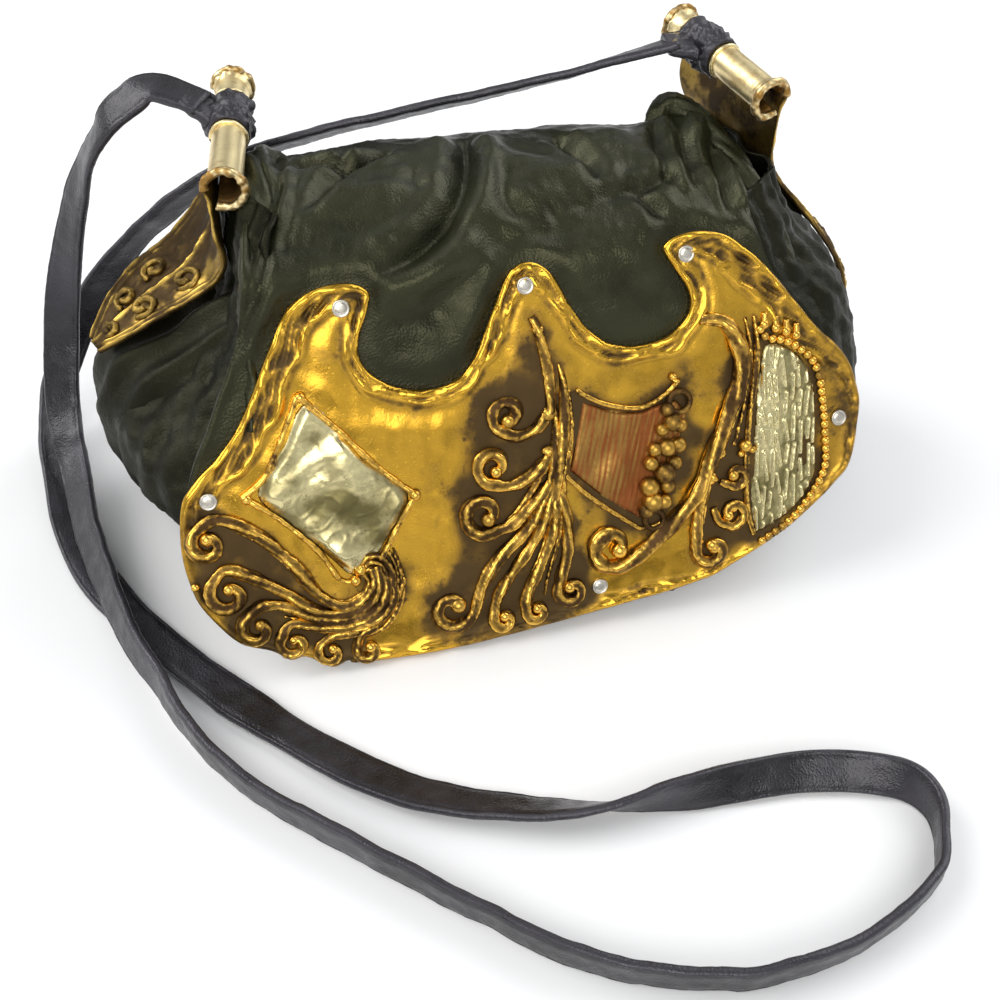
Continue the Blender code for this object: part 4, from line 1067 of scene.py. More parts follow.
# Loose strands beside the scrolls: (u, v, radius) points.
STRANDS = (
    ((0.4, 121.5, 1.7), (2.2, 117, 2.1), (4.2, 108, 2.2), (5, 99, 2.3), (5, 90, 2.2),
     (4.4, 86, 2.4)),
    ((9.2, 104, 0.9), (10.4, 95, 1.8), (9.8, 84, 2.3), (8, 72, 2.6), (5.6, 60, 2.4), (3, 50, 1.6)),
    ((6.4, 90, 1.2), (6.6, 80, 1.7), (5.4, 70, 1.9), (3, 61, 1.7), (-1, 54, 1.2)),
    ((12.4, 94, 0.7), (12.4, 82, 1.2), (10.6, 70, 1.5), (8, 58, 1.4), (8.4, 48, 1.0)),
    ((4, 74, 0.9), (1, 66, 1.3), (-4, 58, 1.3), (-10, 51, 1.1), (-16, 46.5, 0.6)),
    ((4, 64, 1.0), (0, 54, 1.3), (-7, 43, 1.2), (-15, 34.5, 1.1), (-22, 28, 0.9), (-26, 20, 0.6)),
    ((4.6, 60, 0.9), (1, 49, 1.2), (-6, 38, 1.1), (-13, 28, 1.0), (-18, 20, 0.8), (-20, 14, 0.5)),
    ((5.6, 58, 0.9), (3.4, 47, 1.1), (-1, 36, 1.0), (-6, 26, 0.9), (-10, 18, 0.6)),
    ((6.6, 56, 0.8), (6.2, 44, 1.0), (3.4, 33, 0.9), (0, 24, 0.8), (-2, 16, 0.5)),
    ((8, 54, 0.7), (9.6, 43, 0.9), (8.8, 31, 0.8), (6, 22, 0.6)),
    ((-70.5, 38, 1.0), (-67, 42, 1.3), (-62, 41, 1.3), (-58.6, 35, 1.3), (-59.6, 27.5, 1.3),
     (-66, 20.5, 1.3), (-76, 17.6, 1.2), (-88, 20, 1.0), (-99, 24, 0.6)),
    ((-69.5, 37, 0.9), (-66, 40, 1.2), (-62, 37.6, 1.2), (-61, 32, 1.2), (-64, 26, 1.2),
     (-70, 21.4, 1.2), (-78, 19.4, 1.1), (-88, 22.6, 0.9), (-96, 28, 0.6)),
    ((-69.5, 35.6, 0.9), (-66.6, 37.6, 1.1), (-64, 34, 1.1), (-65.4, 29, 1.1), (-70, 24.4, 1.1),
     (-78, 21.8, 1.1), (-87, 26, 0.9), (-95, 33, 0.7)),
    ((-71.5, 36, 1.0), (-68.6, 35.2, 1.1), (-67.6, 31.4, 1.1), (-71, 27.4, 1.1), (-77, 26, 1.0),
     (-84, 29, 0.8), (-90, 36.5, 0.6)),
    ((-57, 43, 0.6), (-55.6, 36, 1.0), (-56, 28, 1.1), (-61.6, 19, 1.2), (-70, 14.6, 1.2),
     (-82, 15, 1.0), (-93, 18.6, 0.6)),
    ((-55.6, 38, 0.5), (-54.4, 31, 0.8), (-56.4, 22.6, 1.0), (-62, 15, 1.1), (-68, 12, 1.0),
     (-74, 11.6, 0.7)),
    ((-60, 44, 0.6), (-57.4, 39, 0.9), (-57, 31, 1.0), (-61, 22.6, 1.1), (-69, 17, 1.1),
     (-79, 15.6, 0.9)),
    ((-112, 59.6, 0.8), (-102, 52, 1.2), (-93, 41, 1.3), (-85.6, 29.5, 1.3), (-79, 24.6, 1.1)),
    ((-112, 43.4, 0.8), (-103, 38.6, 1.1), (-94, 31, 1.2), (-86, 24.4, 1.1)),
    ((65, 112, 1.2), (72.6, 110, 1.6), (79, 104, 1.7), (80.6, 95, 1.7), (79.4, 85.6, 1.6),
     (74.4, 73.4, 1.5), (69, 61, 1.4), (63, 48.5, 1.1), (57, 39, 0.8)),
    ((84.4, 112.4, 1.0), (85.2, 100, 1.3), (84, 88, 1.4), (82, 76, 1.2), (80.6, 62, 1.2),
     (80, 48, 1.2), (80.6, 36, 1.1), (83, 27, 0.9)),
    ((80.8, 112, 0.7), (82.6, 100, 1.0), (81.6, 87, 1.0), (78.4, 74, 0.8), (75.6, 64, 0.6)),
    ((64.6, 57, 1.0), (63.6, 47, 1.3), (61.4, 36, 1.3), (59.4, 27, 1.0)),
    ((55, 43, 1.0), (45, 33.4, 1.3), (35, 27, 1.1)),
)
# Rough knobs of fused metal: (u, v, radius).
KNOBS = ((4, 86, 2.6), (3, 72, 2.2), (69, 62, 2.6), (66, 52.5, 2.4), (-70, 37.5, 2.3),
         (2.2, 117, 2.1), (10, 70, 2.0), (-62, 33, 1.6))
# How a wire is drawn: its strands, their depth and pitch, and its roughness.
SCROLL_TWIST = (4, 0.2, 110, 0.13)
STRAND_TWIST = (3, 0.2, 90, 0.12)
PLAIN_WIRE = (0, 0, 1)
SCROLL_FULLNESS = 1.55
CURL_FULLNESS = 1.25
CURL_STEPS = 34
CURL_SHRINK = 0.66
CURL_PART = 0.8
WIRE_STEP = 0.62
WIRE_SIDES = 20
WIRE_FLAT = 0.95


def scroll_path(stem, centre, turn, root, tip):
    """A stem that winds up round the centre: (u, v, radius) rows at even steps."""
    stem = np.array(stem, float)
    centre = np.array(centre, float)
    start = stem[-1] - centre
    t = (np.arange(CURL_STEPS) + 1) / CURL_STEPS
    bearing = math.atan2(start[1], start[0]) + math.radians(turn) * t * CURL_PART
    radius = np.linalg.norm(start) * (1 - CURL_SHRINK * t ** 0.9)
    curl = centre + np.stack([np.cos(bearing), np.sin(bearing)], axis=1) * radius[:, None]
    path = even_path(np.concatenate([smooth_path(stem, 8), curl]), WIRE_STEP, axes=2)
    share = np.linspace(0, 1, len(path))
    size = (root + (CURL_FULLNESS * tip - root) * share) * SCROLL_FULLNESS
    size = size * (1 - 0.3 * step_up(-share, -0.12, 0)) * (1 + 0.12 * ripple(path, 10, 66))
    return np.column_stack([path, size])


def laid_wire(rows, lobes, depth, pitch, rough, seed, lift=0.35):
    """A soldered wire along (u, v, radius) rows, a little sunk into the plate's face."""
    rows = np.asarray(rows, float)
    u, v, radius = rows.T
    path = plate_points(u, v, PLATE_FACE_W + radius * lift)
    points, faces = tube(path, radius, WIRE_SIDES, lobes, depth, pitch, rough, seed, WIRE_FLAT,
                         PLATE_NORMAL)
    rings = points.reshape(len(rows), WIRE_SIDES, 3)
    radius = radius[:, None]
    sunk = radius - np.linalg.norm(rings - path[:, None, :], axis=2)
    groove = np.clip(sunk / (0.16 * radius), 0, 1) * 0.75
    return points, faces, (groove + np.clip(0.9 - over_plate(rings), 0, 1)).ravel()


def with_dark(part, level=0.15):
    """A ball or ring with its foot darkened."""
    points, faces = part
    return points, faces, np.clip(1.0 - 0.8 * over_plate(points), 0, 1) + level


def bead(u, v, lift, radius, flat=1.0):
    """A bead on the plate whose middle is `lift` over its face."""
    return with_dark(ball(plate_points(u, v, PLATE_FACE_W + lift), radius, PLATE_NORMAL, flat))


def wire_rows(line, steps=8):
    """A wire's line read at even steps along the plate."""
    return even_path(smooth_path(line, steps), WIRE_STEP, axes=2)


def join_dark(parts):
    """Several (points, faces, darkness) as one."""
    points, faces = join([(points, faces) for points, faces, _ in parts])
    dark = np.concatenate([dark for _, _, dark in parts])
    return points, faces, np.clip(dark + 0.12 * ripple(points, 7, 61), 0, 1)


def make_scrolls():
    """The soldered scrolls and strands, drawn out of twisted and fused wire."""
    parts = []
    for k, row in enumerate(SCROLLS):
        rows = scroll_path(*row)
        parts.append(laid_wire(rows, *SCROLL_TWIST, 60 + 3 * k))
        u, v, radius = rows[-1]
        parts.append(bead(u, v, radius * 0.6, radius * 0.98))
    for k, line in enumerate(STRANDS):
        parts.append(laid_wire(wire_rows(line), *STRAND_TWIST, 160 + 3 * k, lift=0.55))
    for k, (u, v, radius) in enumerate(KNOBS):
        middle = plate_points(u, v, PLATE_FACE_W + radius * 0.5)
        points, faces = ball(middle, radius, PLATE_NORMAL, 0.8, 12, 20)
        rough = ripple(points, 2.2, 190 + k) * 0.12
        parts.append(with_dark((middle + (points - middle) * (1 + rough[:, None]), faces), 0.25))
    points, faces, recess = join_dark(parts)
    add_mesh("soldered_scrolls", points, faces, WIRE_BRASS, (), {"recess": recess})


make_scrolls()


# Inlays

DIAMOND = ((-80.5, 101), (-65.5, 82), (-49.5, 63), (-58, 49), (-64.5, 40.5), (-69, 36.2),
           (-74, 36.4), (-79.5, 43), (-91, 57), (-102, 70.6), (-91.5, 86.5))
DIAMOND_FRAME = (((-83, 103.2), (-71, 89.4), (-60, 75.6), (-47, 62.6)),
                 ((-46, 64.0), (-51, 57), (-57.6, 46.8), (-62, 40)),
                 ((-106, 69.8), (-95, 60), (-84, 47), (-77.5, 35), (-72, 33.4)),
                 ((-107.6, 70.4), (-99, 76.6), (-92.4, 87.6), (-84, 104)))
DIAMOND_KNOBS = ((-83, 103.2), (-47, 62.6), (-106, 69.8), (-72, 33.6))
FRAME_WIRE_RADIUS = 1.05
COPPER_OUTLINE = ((17, 89), (25, 85), (33, 82.4), (40, 81.8), (46, 83.6), (53, 84.6), (57, 79.6),
                  (51.5, 61), (46.6, 43.4), (37, 40.6), (24.8, 49.4), (11.2, 63))
COPPER_WIRES = (
    ((15, 93.5, 0.9), (18.5, 90.6, 0.9), (25, 87, 0.9), (33, 84.4, 0.9), (40, 83.8, 0.9),
     (46.5, 86, 0.9), (52, 90, 0.9), (53, 92.6, 1.6)),
    ((9, 61.8, 0.9), (16, 54, 0.9), (24, 46.8, 0.9), (34, 38.8, 0.9), (37, 36.8, 0.9),
     (42, 37, 0.8), (45.6, 38.2, 0.8)),
)
COPPER_RINGS = ((54, 84, 4.0), (42.4, 39.6, 3.6))
BALLS = (
    (48.7, 82, 2.0), (50.4, 77, 2.6), (46.4, 74.6, 1.9), (53.4, 75.4, 2.1), (47.8, 67.6, 2.6),
    (52.4, 68, 2.3), (43.4, 67.4, 2.1), (41.6, 62.2, 2.2), (46.6, 58, 3.0), (50.8, 61.4, 2.1),
    (40.4, 53.4, 2.8), (47.4, 53, 2.3), (41.4, 47.4, 3.0), (45.8, 46.8, 2.4), (38.8, 44, 2.2),
)
LOOSE_BALLS = ((52, 93.4, 1.6), (79.5, 63.5, 2.6), (82.6, 61.4, 1.5), (78, 60.4, 1.4),
               (66, 24.4, 2.4), (68.6, 26.2, 1.6), (65, 58, 1.6), (74.6, 39, 1.6),
               (-128, 40.4, 1.6))
HALF_MOON = ((88.6, 100.6), (86.4, 90), (84.8, 76), (83.2, 60), (82.2, 45), (83.4, 30), (85, 27.6),
             (92, 30.4), (99.5, 35), (105.4, 41.5), (108.8, 49), (109.4, 60), (109, 74),
             (107.4, 86), (103.4, 93.8), (97, 99.2))
BEADED_WIRE = ((86.5, 107), (89, 103.6), (95.4, 102), (101.4, 98.6), (107, 93.2), (110, 87),
               (111.3, 79), (112.2, 70), (112.8, 60), (112.6, 51), (109, 43), (102, 34.4),
               (95, 28.6), (86, 24))
BEAD_PITCH = 3.3
BEAD_RADIUS = 1.7
DROP_BEADS = ((88, 108.6), (92.4, 106.8), (96.6, 105), (100.6, 103.2))
SHEET_SPACING = 0.6
MOON_COLUMNS = 9
MOON_PITCH = 3.0
MOON_LEFT = 84.4
MOON_FOOT = 22
MOON_TOP = 103
MOON_SPACING = 0.45
MOON_SEED = 77
# The slant of the copper's brush strokes.
COPPER_SLANT = 0.27
BALL_FULLNESS = 1.35
DIAMOND_KNOB_RADIUS = 2.0
RING_WIRE_RADIUS = 1.15
BEADED_WIRE_RADIUS = 0.8
DROP_RADIUS = 1.9


def diamond_relief(spots, gap, place):
    """Hammered and part-melted silver: long soft waves, thin wandering ridges, a domed edge."""
    dome = 1.5 * step_up(gap, 0, 4.0)
    turned = spots @ np.array([[0.8, -0.6], [0.6, 0.8]])
    waves = 0.8 * ripple(turned * (0.7, 1), 19, 71) + 0.22 * ripple(turned * (0.7, 1), 8, 72)
    wander = ripple(turned * (0.55, 1), 11, 74)
    ridges = 0.35 * hump(wander, 0, 0.12) * hump(spots[:, 1], 60, 12)
    swell = 0.9 * mound(spots, -71, 43, 6, 6)
    return dome + (waves + ridges + swell + 0.03 * ripple(spots, 2.4, 73)) * step_up(gap, 0, 3)


def copper_relief(spots, gap, place):
    """Rolled copper with slanting brush strokes."""
    u, v = spots.T
    slant = np.stack([u - COPPER_SLANT * v, v * 0.09], axis=1)
    return (0.8 * step_up(gap, 0, 1.0) + 0.09 * ripple(slant, 1.1, 75)
            + 0.05 * ripple(slant, 0.6, 83) + 0.25 * ripple(spots, 16, 76))


def moon_bars(spots):
    """Staggered upright bars of fused silver, from 0 to 1."""
    best = np.zeros(len(spots))
    rng = np.random.default_rng(MOON_SEED)
    for k in range(MOON_COLUMNS):
        base_u = MOON_LEFT + MOON_PITCH * k
        v = MOON_FOOT + rng.uniform(0, 7)
        while v < MOON_TOP:
            length = rng.uniform(5.0, 14.0)
            drift = rng.uniform(-0.7, 0.7)
            bend = rng.uniform(-0.8, 0.8)
            line = np.array([(base_u + drift - bend, v), (base_u + drift + bend, v + length)])
            gap, _ = near_line(spots, line)
            best = np.maximum(best, 1 - step_up(gap, 0.35, 0.85))
            v += length + rng.uniform(2.2, 3.4)
    return best


def moon_relief(spots, gap, place):
    """Upright bars on a sheet that swells and sinks a little."""
    return (0.5 * step_up(gap, 0, 1.2) + 0.85 * moon_bars(spots) * step_up(gap, 0.2, 1.4)
            + 0.08 * ripple(spots, 3, 78) + 0.5 * ripple(spots, 24, 79))


def make_inlays():
    """The silver diamond, the copper panel and the silver half-moon."""
    points, faces, flat = relief_sheet(smooth_path(DIAMOND, 5, closed=True), SHEET_SPACING,
                                       PLATE_FACE_W, INLAY_W, diamond_relief)
    # Darker across the middle, with random tone.
    darker_middle_and_tone = 0.75 * hump(flat[:, 1], 58, 15) + 0.3 * ripple(flat, 14, 81)
    # Painted highlight: less tarnish on the lower corner's swell, so it shows brighter.
    bright = mound(flat, -71, 41, 6, 5)
    add_mesh("hammered_diamond", points, faces, SILVER, ["silver_diamond"],
             {"recess": np.clip(darker_middle_and_tone - bright, 0, 0.8)})
    *panel, flat = relief_sheet(COPPER_OUTLINE, SHEET_SPACING, PLATE_FACE_W, INLAY_W, copper_relief)
    parts = [panel]
    for u, v, radius in BALLS:
        size = radius * BALL_FULLNESS
        middle = plate_points(u, v, INLAY_W + 0.9 + size * 0.6)
        parts.append(ball(middle, size, PLATE_NORMAL, rings=12, sides=20))
    points, faces = join(parts)
    slant = flat[:, 0] - COPPER_SLANT * (flat[:, 1] - 40)
    strokes = ripple(np.stack([slant / 1.3, flat[:, 1] / 16], axis=1), 1.4, 82)
    red = np.full(len(points), 0.5)
    red[:len(flat)] = np.clip(0.35 + 0.5 * hump(slant, 31, 6) + 0.4 * strokes, 0, 1)
    copper = add_mesh("brushed_copper", points, faces, COPPER, ["copper_panel"],
                      {"recess": red})
    copper.data.materials.append(WIRE_BRASS)
    for polygon in copper.data.polygons[len(panel[1]):]:
        polygon.material_index = 1
    points, faces, flat = relief_sheet(smooth_path(HALF_MOON, 4, closed=True), MOON_SPACING,
                                       PLATE_FACE_W, INLAY_W, moon_relief)
    grooves = np.clip(1 - moon_bars(flat) * 1.4, 0, 1) * 0.75
    centre = mound(flat, 90, 74, 7, 24)
    add_mesh("fused_half_moon", points, faces, SILVER, ["silver_half_moon"],
             {"recess": np.clip(grooves - 0.6 * centre, 0, 1)})


def ring_wire(u, v, radius):
    """A small ring of wire lying on the plate."""
    angle = np.linspace(0, 2 * math.pi, 40)
    path = plate_points(u + radius * np.cos(angle), v + radius * np.sin(angle), INLAY_W + 1.4)
    return tube(path, RING_WIRE_RADIUS, 10, normal=PLATE_NORMAL, rough=0.06, seed=91)


def make_settings():
    """The wire frames, knobs, rings, loose balls and beads that hold and edge the inlays."""
    parts = []
    for k, line in enumerate(DIAMOND_FRAME):
        rows = wire_rows(line)
        size = FRAME_WIRE_RADIUS * (1 + 0.14 * ripple(rows, 8, 255 + k))
        rows = np.column_stack([rows, size])
        parts.append(laid_wire(rows, *PLAIN_WIRE, 0.07, 260 + k, lift=0.8))
    parts += [bead(u, v, 1.0, DIAMOND_KNOB_RADIUS, 0.9) for u, v in DIAMOND_KNOBS]
    for k, line in enumerate(COPPER_WIRES):
        parts.append(laid_wire(wire_rows(line), *PLAIN_WIRE, 0.06, 270 + k, lift=1.2))
    parts += [with_dark(ring_wire(*ring), 0.7) for ring in COPPER_RINGS]
    parts += [bead(u, v, radius * 0.6, radius) for u, v, radius in LOOSE_BALLS]
    rows = wire_rows(BEADED_WIRE)
    rows = np.column_stack([rows, np.full(len(rows), BEADED_WIRE_RADIUS)])
    parts.append(laid_wire(rows, *PLAIN_WIRE, 0.0, 280, lift=0.7))
    places = even_path(smooth_path(BEADED_WIRE, 8), BEAD_PITCH, axes=2)
    parts += [bead(u, v, 1.0, BEAD_RADIUS, 0.85) for u, v in places]
    for u, v in DROP_BEADS:
        tail = ((u, v, 1.3), (u + 0.2, v + 2.2, 1.3), (u + 0.3, v + 4.4, 1.1))
        parts.append(laid_wire(wire_rows(tail, 6), *PLAIN_WIRE, 0.05, 290, lift=0.6))
        parts.append(bead(u, v, 0.8, DROP_RADIUS))
    points, faces, recess = join_dark(parts)
    add_mesh("inlay_settings", points, faces, WIRE_BRASS, (), {"recess": recess})


make_inlays()
make_settings()


# Rivets

RIVETS = ((-65.5, 132), (-1, 132.6), (58.6, 137.4), (-118.9, 70.8), (118.4, 69), (19.8, 15.8))
# A head's profile: (distance from the axis, height over the plate's face).
RIVET_PROFILE = ((0, 1.12), (1.0, 1.11), (1.7, 1.05), (2.1, 0.86), (2.3, 0.8), (2.55, 0.98),
                 (2.8, 1.0), (3.02, 0.8), (3.15, 0.4), (3.1, 0.0))
RIVET_BACK = ((2.5, -4.8), (2.5, -4.1), (1.2, -4.1), (1.2, 0.0))
RIVET_SIDES = 40
RIVET_LIFT = 0.2
RIVET_TIP = 0.01


def make_rivets():
    """Bright round heads, each with a turned rim, and their washers under the flap."""
    profile = np.array(RIVET_PROFILE + RIVET_BACK[::-1] + ((0, -4.8),))
    angle = circle(RIVET_SIDES)
    size = np.maximum(profile[:, :1], RIVET_TIP)
    height = PLATE_FACE_W + RIVET_LIFT + profile[:, 1:]
    faces = [face[::-1] for face in grid_faces(len(profile), RIVET_SIDES, closed_columns=True)]
    parts = []
    for u, v in RIVETS:
        rings = plate_points(u + size * np.cos(angle), v + size * np.sin(angle), height)
        parts.append((rings.reshape(-1, 3), faces))
    points, faces = join(parts)
    node_names = [f"rivet_{k + 1}" for k in range(len(RIVETS))]
    add_mesh("rivet_heads", points, faces, RIVET_METAL, node_names,
             {"recess": np.clip(0.35 - 0.2 * over_plate(points), 0, 0.3)})


make_rivets()


# Side strips

TUBE_RADIUS = 5.6
TUBE_WALL = 1.0
TUBE_FLARE = ((0, 7.0), (1.5, 6.8), (3.2, 6.0), (5, 5.6))
TUBE_ROLL = math.radians(300)
LOOP_WIDTH = 20.0
# The slot for the strap's loop: half its width in mm, its share of the way down the sheet, and how
# far it opens the tube.
SLOT_HALF = LOOP_WIDTH / 2 + 1.2
SLOT_DEPTH = 0.075
SLOT_TURN = math.radians(26)
LOOP_CLEAR = 0.4
LOOP_WALL = 1.6
# Half the thickness of the loop's tail, at the loop and at the strap.
TAIL_HALVES = (2.6, 1.75)
STRIP_COLUMNS = 70
STRIP_ROW_STEP = 1.4
LEFT_TUBE = ((-98, 46, 148), (-89.1, 118, 149.8))
RIGHT_TUBE = ((101, 55, 158.5), (86, 115, 162.6))
LEFT_LOOP_AT = 46.0
RIGHT_LOOP_AT = 42.0
# Where each loop's tail meets the strap.
LEFT_TAIL_TO = (-108, 95.5, 158.5)
RIGHT_TAIL_TO = (74, 96.6, 163.2)
# Down the sheet from the tube to the tip: (near x, near y, near z, far x, far y, far z).
LEFT_ROWS = (
    (-103, 47.5, 130, -98, 116, 130), (-101, 50, 118, -104, 107, 117),
    (-102, 55, 108, -113, 99, 107), (-107, 58, 100.5, -123, 96, 99),
    (-117, 58, 94.5, -134, 93, 93), (-128, 58, 89, -143.5, 84, 88.5),
    (-138.5, 58, 83.5, -150, 76, 83), (-152.5, 60, 75.5, -154.5, 68, 77),
)
RIGHT_ROWS = (
    (108.5, 61, 140, 89, 114, 142), (111, 64.5, 128, 94, 111, 130),
    (117, 66.5, 117.5, 104, 106, 117), (126, 66.5, 108, 118, 99, 107),
    (134, 60, 99, 131, 92, 99), (140, 53, 91, 141, 83, 91.5),
    (144.5, 48.5, 82.5, 148, 69, 83.5), (146.5, 46, 73.5, 147.5, 51, 74.5),
)
# Curls on a strip's outer face: centre (share across, share down), radius in mm, turn in degrees.
STRIP_CURLS = (((0.33, 0.585), 6.2, 430), ((0.35, 0.78), 5.6, 420), ((0.7, 0.64), 5.4, -420),
               ((0.68, 0.8), 4.8, -400), ((0.5, 0.93), 3.4, 380))
STRIP_CURL_START = math.radians(120)
STRIP_CURL_RADII = (1.2, 1.9)
# Their wires' sides, strands, the strands' depth and pitch, and their roughness.
STRIP_CURL_FORM = (16, 3, 0.16, 40, 0.2)
# Rings of wire round a tube's ends, and how far rings stand in from an end or a slot.
END_RING_RADIUS = 1.5
END_RING_SIZE = 6.3
RING_INSET = 0.6
# How far the left strip's lower part stands off the pouch, in mm.
LEFT_CLEAR = 1.8


def around(outward, up, angle):
    """Directions at the angles, from one vector towards another."""
    return outward * np.cos(angle)[:, None] + up * np.sin(angle)[:, None]


def tube_frame(ends):
    """The tube's start, direction, outward and upward unit vectors, and length."""
    near, far = (np.array(end, float) for end in ends)
    along = unit(far - near)
    up = unit(np.array([0, 0, 1.0]) - along * along[2])
    outward = np.cross(up, along) if near[0] < 0 else np.cross(along, up)
    return near, along, outward, up, float(np.linalg.norm(far - near))


def flare_radius(place, length):
    """The tube's radius, opened at both of its ends."""
    gaps, sizes = zip(*TUBE_FLARE)
    return np.interp(np.minimum(place, length - place), gaps, sizes)


def strip_surface(ends, table):
    """The strip below its tube: a grid of points from the tube down to the tip."""
    near, along, outward, up, length = tube_frame(ends)
    places = np.linspace(0, length, STRIP_COLUMNS)
    rows = []
    for depth in (0, 1.2, 5, 10):
        radius = flare_radius(places, length) if depth < 5 else np.full_like(places, TUBE_RADIUS)
        rows.append(near + along * places[:, None] + outward * radius[:, None] - up * depth)
    for row in table:
        a, b = np.array(row[:3], float), np.array(row[3:], float)
        rows.append(a + (b - a) * (places / length)[:, None])
    rows = np.array(rows)
    fine = smooth_path(rows.reshape(len(rows), -1), 10)
    middle = fine.reshape(len(fine), STRIP_COLUMNS, 3)[:, STRIP_COLUMNS // 2]
    way = travelled(middle)
    steps = np.arange(0, way[-1], STRIP_ROW_STEP)
    grid = np.stack([np.interp(steps, way, fine[:, k]) for k in range(fine.shape[1])], axis=1)
    return grid.reshape(len(steps), STRIP_COLUMNS, 3), steps / way[-1], places


def strip_relief(across, down, width):
    """The height worked into a strip's outer face: its edges and a central rib."""
    edge = np.minimum(across, 1 - across) * width
    middle = (across - 0.52 - 0.06 * np.sin(down * 7)) * width
    rib = 1.3 * hump(middle, 0, 1.0) * step_up(down, 0.25, 0.4)
    return 1.0 * hump(edge, 0.8, 0.7) + 0.6 * hump(edge, 3.6, 0.7) + rib


def make_strip(name, ends, loop_at, table, node_name, clear, seed):
    """A side strip: a sheet rolled into a tube at its top and worked with a rib and curls."""
    outward = tube_frame(ends)[2]
    grid, down, places = strip_surface(ends, table)
    out = unit(np.cross(np.gradient(grid, axis=1), np.gradient(grid, axis=0)))
    if (out[5, STRIP_COLUMNS // 2] @ outward) < 0:
        out = -out
    width = np.linalg.norm(np.diff(grid, axis=1), axis=2).sum(axis=1)[:, None]
    across = np.broadcast_to(np.linspace(0, 1, STRIP_COLUMNS)[None, :], grid.shape[:2])
    grid = grid + out * (clear * step_up(down, 0.3, 0.45))[:, None, None]
    relief = strip_relief(across, down[:, None], width) * step_up(down, 0.1, 0.2)[:, None]
    relief = relief + 0.25 * ripple(grid, 6, seed) + 0.12 * ripple(grid, 2.5, seed + 1)
    face = grid + out * (relief + TUBE_WALL / 2)[..., None]
    back = grid - out * (TUBE_WALL / 2 - 0.1 * ripple(grid, 7, seed + 2))[..., None]
    slot = (np.abs(places - loop_at) < SLOT_HALF) & (down[:, None] < SLOT_DEPTH)
    parts = [two_sided(face, back, slot[:-1, :-1] & slot[:-1, 1:])]
    rows, columns = grid.shape[:2]
    for k, ((a, d), radius, turn) in enumerate(STRIP_CURLS):
        i = int(d * (rows - 1))
        j = int(a * (columns - 1))
        side = unit(grid[i, min(j + 4, columns - 1)] - grid[i, max(j - 4, 0)])
        fall = unit(grid[min(i + 4, rows - 1), j] - grid[max(i - 4, 0), j])
        t = np.linspace(0, 1, 40)
        bearing = STRIP_CURL_START + math.radians(turn) * t
        size = radius * (1 - 0.75 * t)
        path = (grid[i, j] + out[i, j] * 0.9 + side * (size * np.cos(bearing))[:, None]
                + fall * (size * np.sin(bearing))[:, None])
        parts.append(tube(path, np.linspace(*STRIP_CURL_RADII, len(path)), *STRIP_CURL_FORM,
                          seed + 10 + k, 0.9, out[i, j]))
    points, faces = join(parts)
    recess = np.full(len(points), 0.58)
    worked = step_up(down[:, None], 0.14, 0.3) * (1 - 0.6 * hump(across, 0.16, 0.12))
    side_size = rows * columns
    recess[:side_size] = np.clip(0.25 + 0.75 * worked - 0.55 * relief, 0, 1).ravel()
    recess[side_size:2 * side_size] = 0.62
    add_mesh(name, points, faces, STRIP_BRASS, [node_name], {"recess": recess})
    make_tube(name + "_tube", ends, loop_at, seed)


def make_tube(name, ends, loop_at, seed):
    """The rolled tube with flared, hammered ends and a plain ring at each side of the loop."""
    near, along, outward, up, length = tube_frame(ends)
    places = np.concatenate([np.linspace(0, 6, 16), np.linspace(6.5, length - 6.5, 60),
                             np.linspace(length - 6, length, 16)])
    turn = np.linspace(0, TUBE_ROLL, 60)
    radius = flare_radius(places, length)[:, None]
    lumps = hump(np.minimum(places, length - places), 0, 2.6)[:, None]
    direction = around(outward, up, turn)[None]
    centre = (near + along * places[:, None])[:, None, :]
    outer = centre + direction * (radius + TUBE_WALL / 2)[..., None]
    rough = (0.45 * ripple(outer, 3.0, seed + 3) + 0.25 * ripple(outer, 1.5, seed + 4)) * lumps
    outer = outer + direction * (rough + 0.05 * ripple(outer, 9, seed + 5))[..., None]
    inner = centre + direction * (radius - TUBE_WALL / 2)[..., None]
    slot = (np.abs(places - loop_at) < SLOT_HALF)[:, None] & (turn < SLOT_TURN)
    parts = [two_sided(outer, inner, slot[:-1, :-1] & slot[1:, 1:])]
    sweep = np.linspace(0, TUBE_ROLL, 90)
    circling = around(outward, up, sweep)
    for place in (RING_INSET, length - RING_INSET):
        size = END_RING_SIZE + TUBE_WALL / 2 + 0.14 * ripple(sweep[:, None], 1.2, seed + 8)
        ring = near + along * place + circling * size[:, None]
        thick = END_RING_RADIUS * (1 + 0.12 * ripple(sweep[:, None], 0.8, seed + 9))
        parts.append(tube(ring, thick, 14, rough=0.12, seed=seed + 7, normal=along))
    plain = len(parts)
    for place in (loop_at - SLOT_HALF - RING_INSET, loop_at + SLOT_HALF + RING_INSET):
        ring = near + along * place + circling * (TUBE_RADIUS + TUBE_WALL / 2 + 0.2)
        parts.append(tube(ring, 0.75, 8, rough=0.06, seed=seed + 6, normal=along))
    points, faces = join(parts)
    recess = np.full(len(points), 0.12)
    side_size = outer.shape[0] * outer.shape[1]
    recess[:side_size] = np.clip(0.1 + 0.5 * lumps * (0.5 - rough), 0, 0.7).ravel()
    recess[side_size:2 * side_size] = 0.8
    end_rings = slice(2 * side_size, sum(len(part[0]) for part in parts[:plain]))
    recess[end_rings] = 0.5 + 0.3 * ripple(points[end_rings], 2.5, seed + 9)
    add_mesh(name, points, faces, PALE_BRASS, (), {"recess": recess})


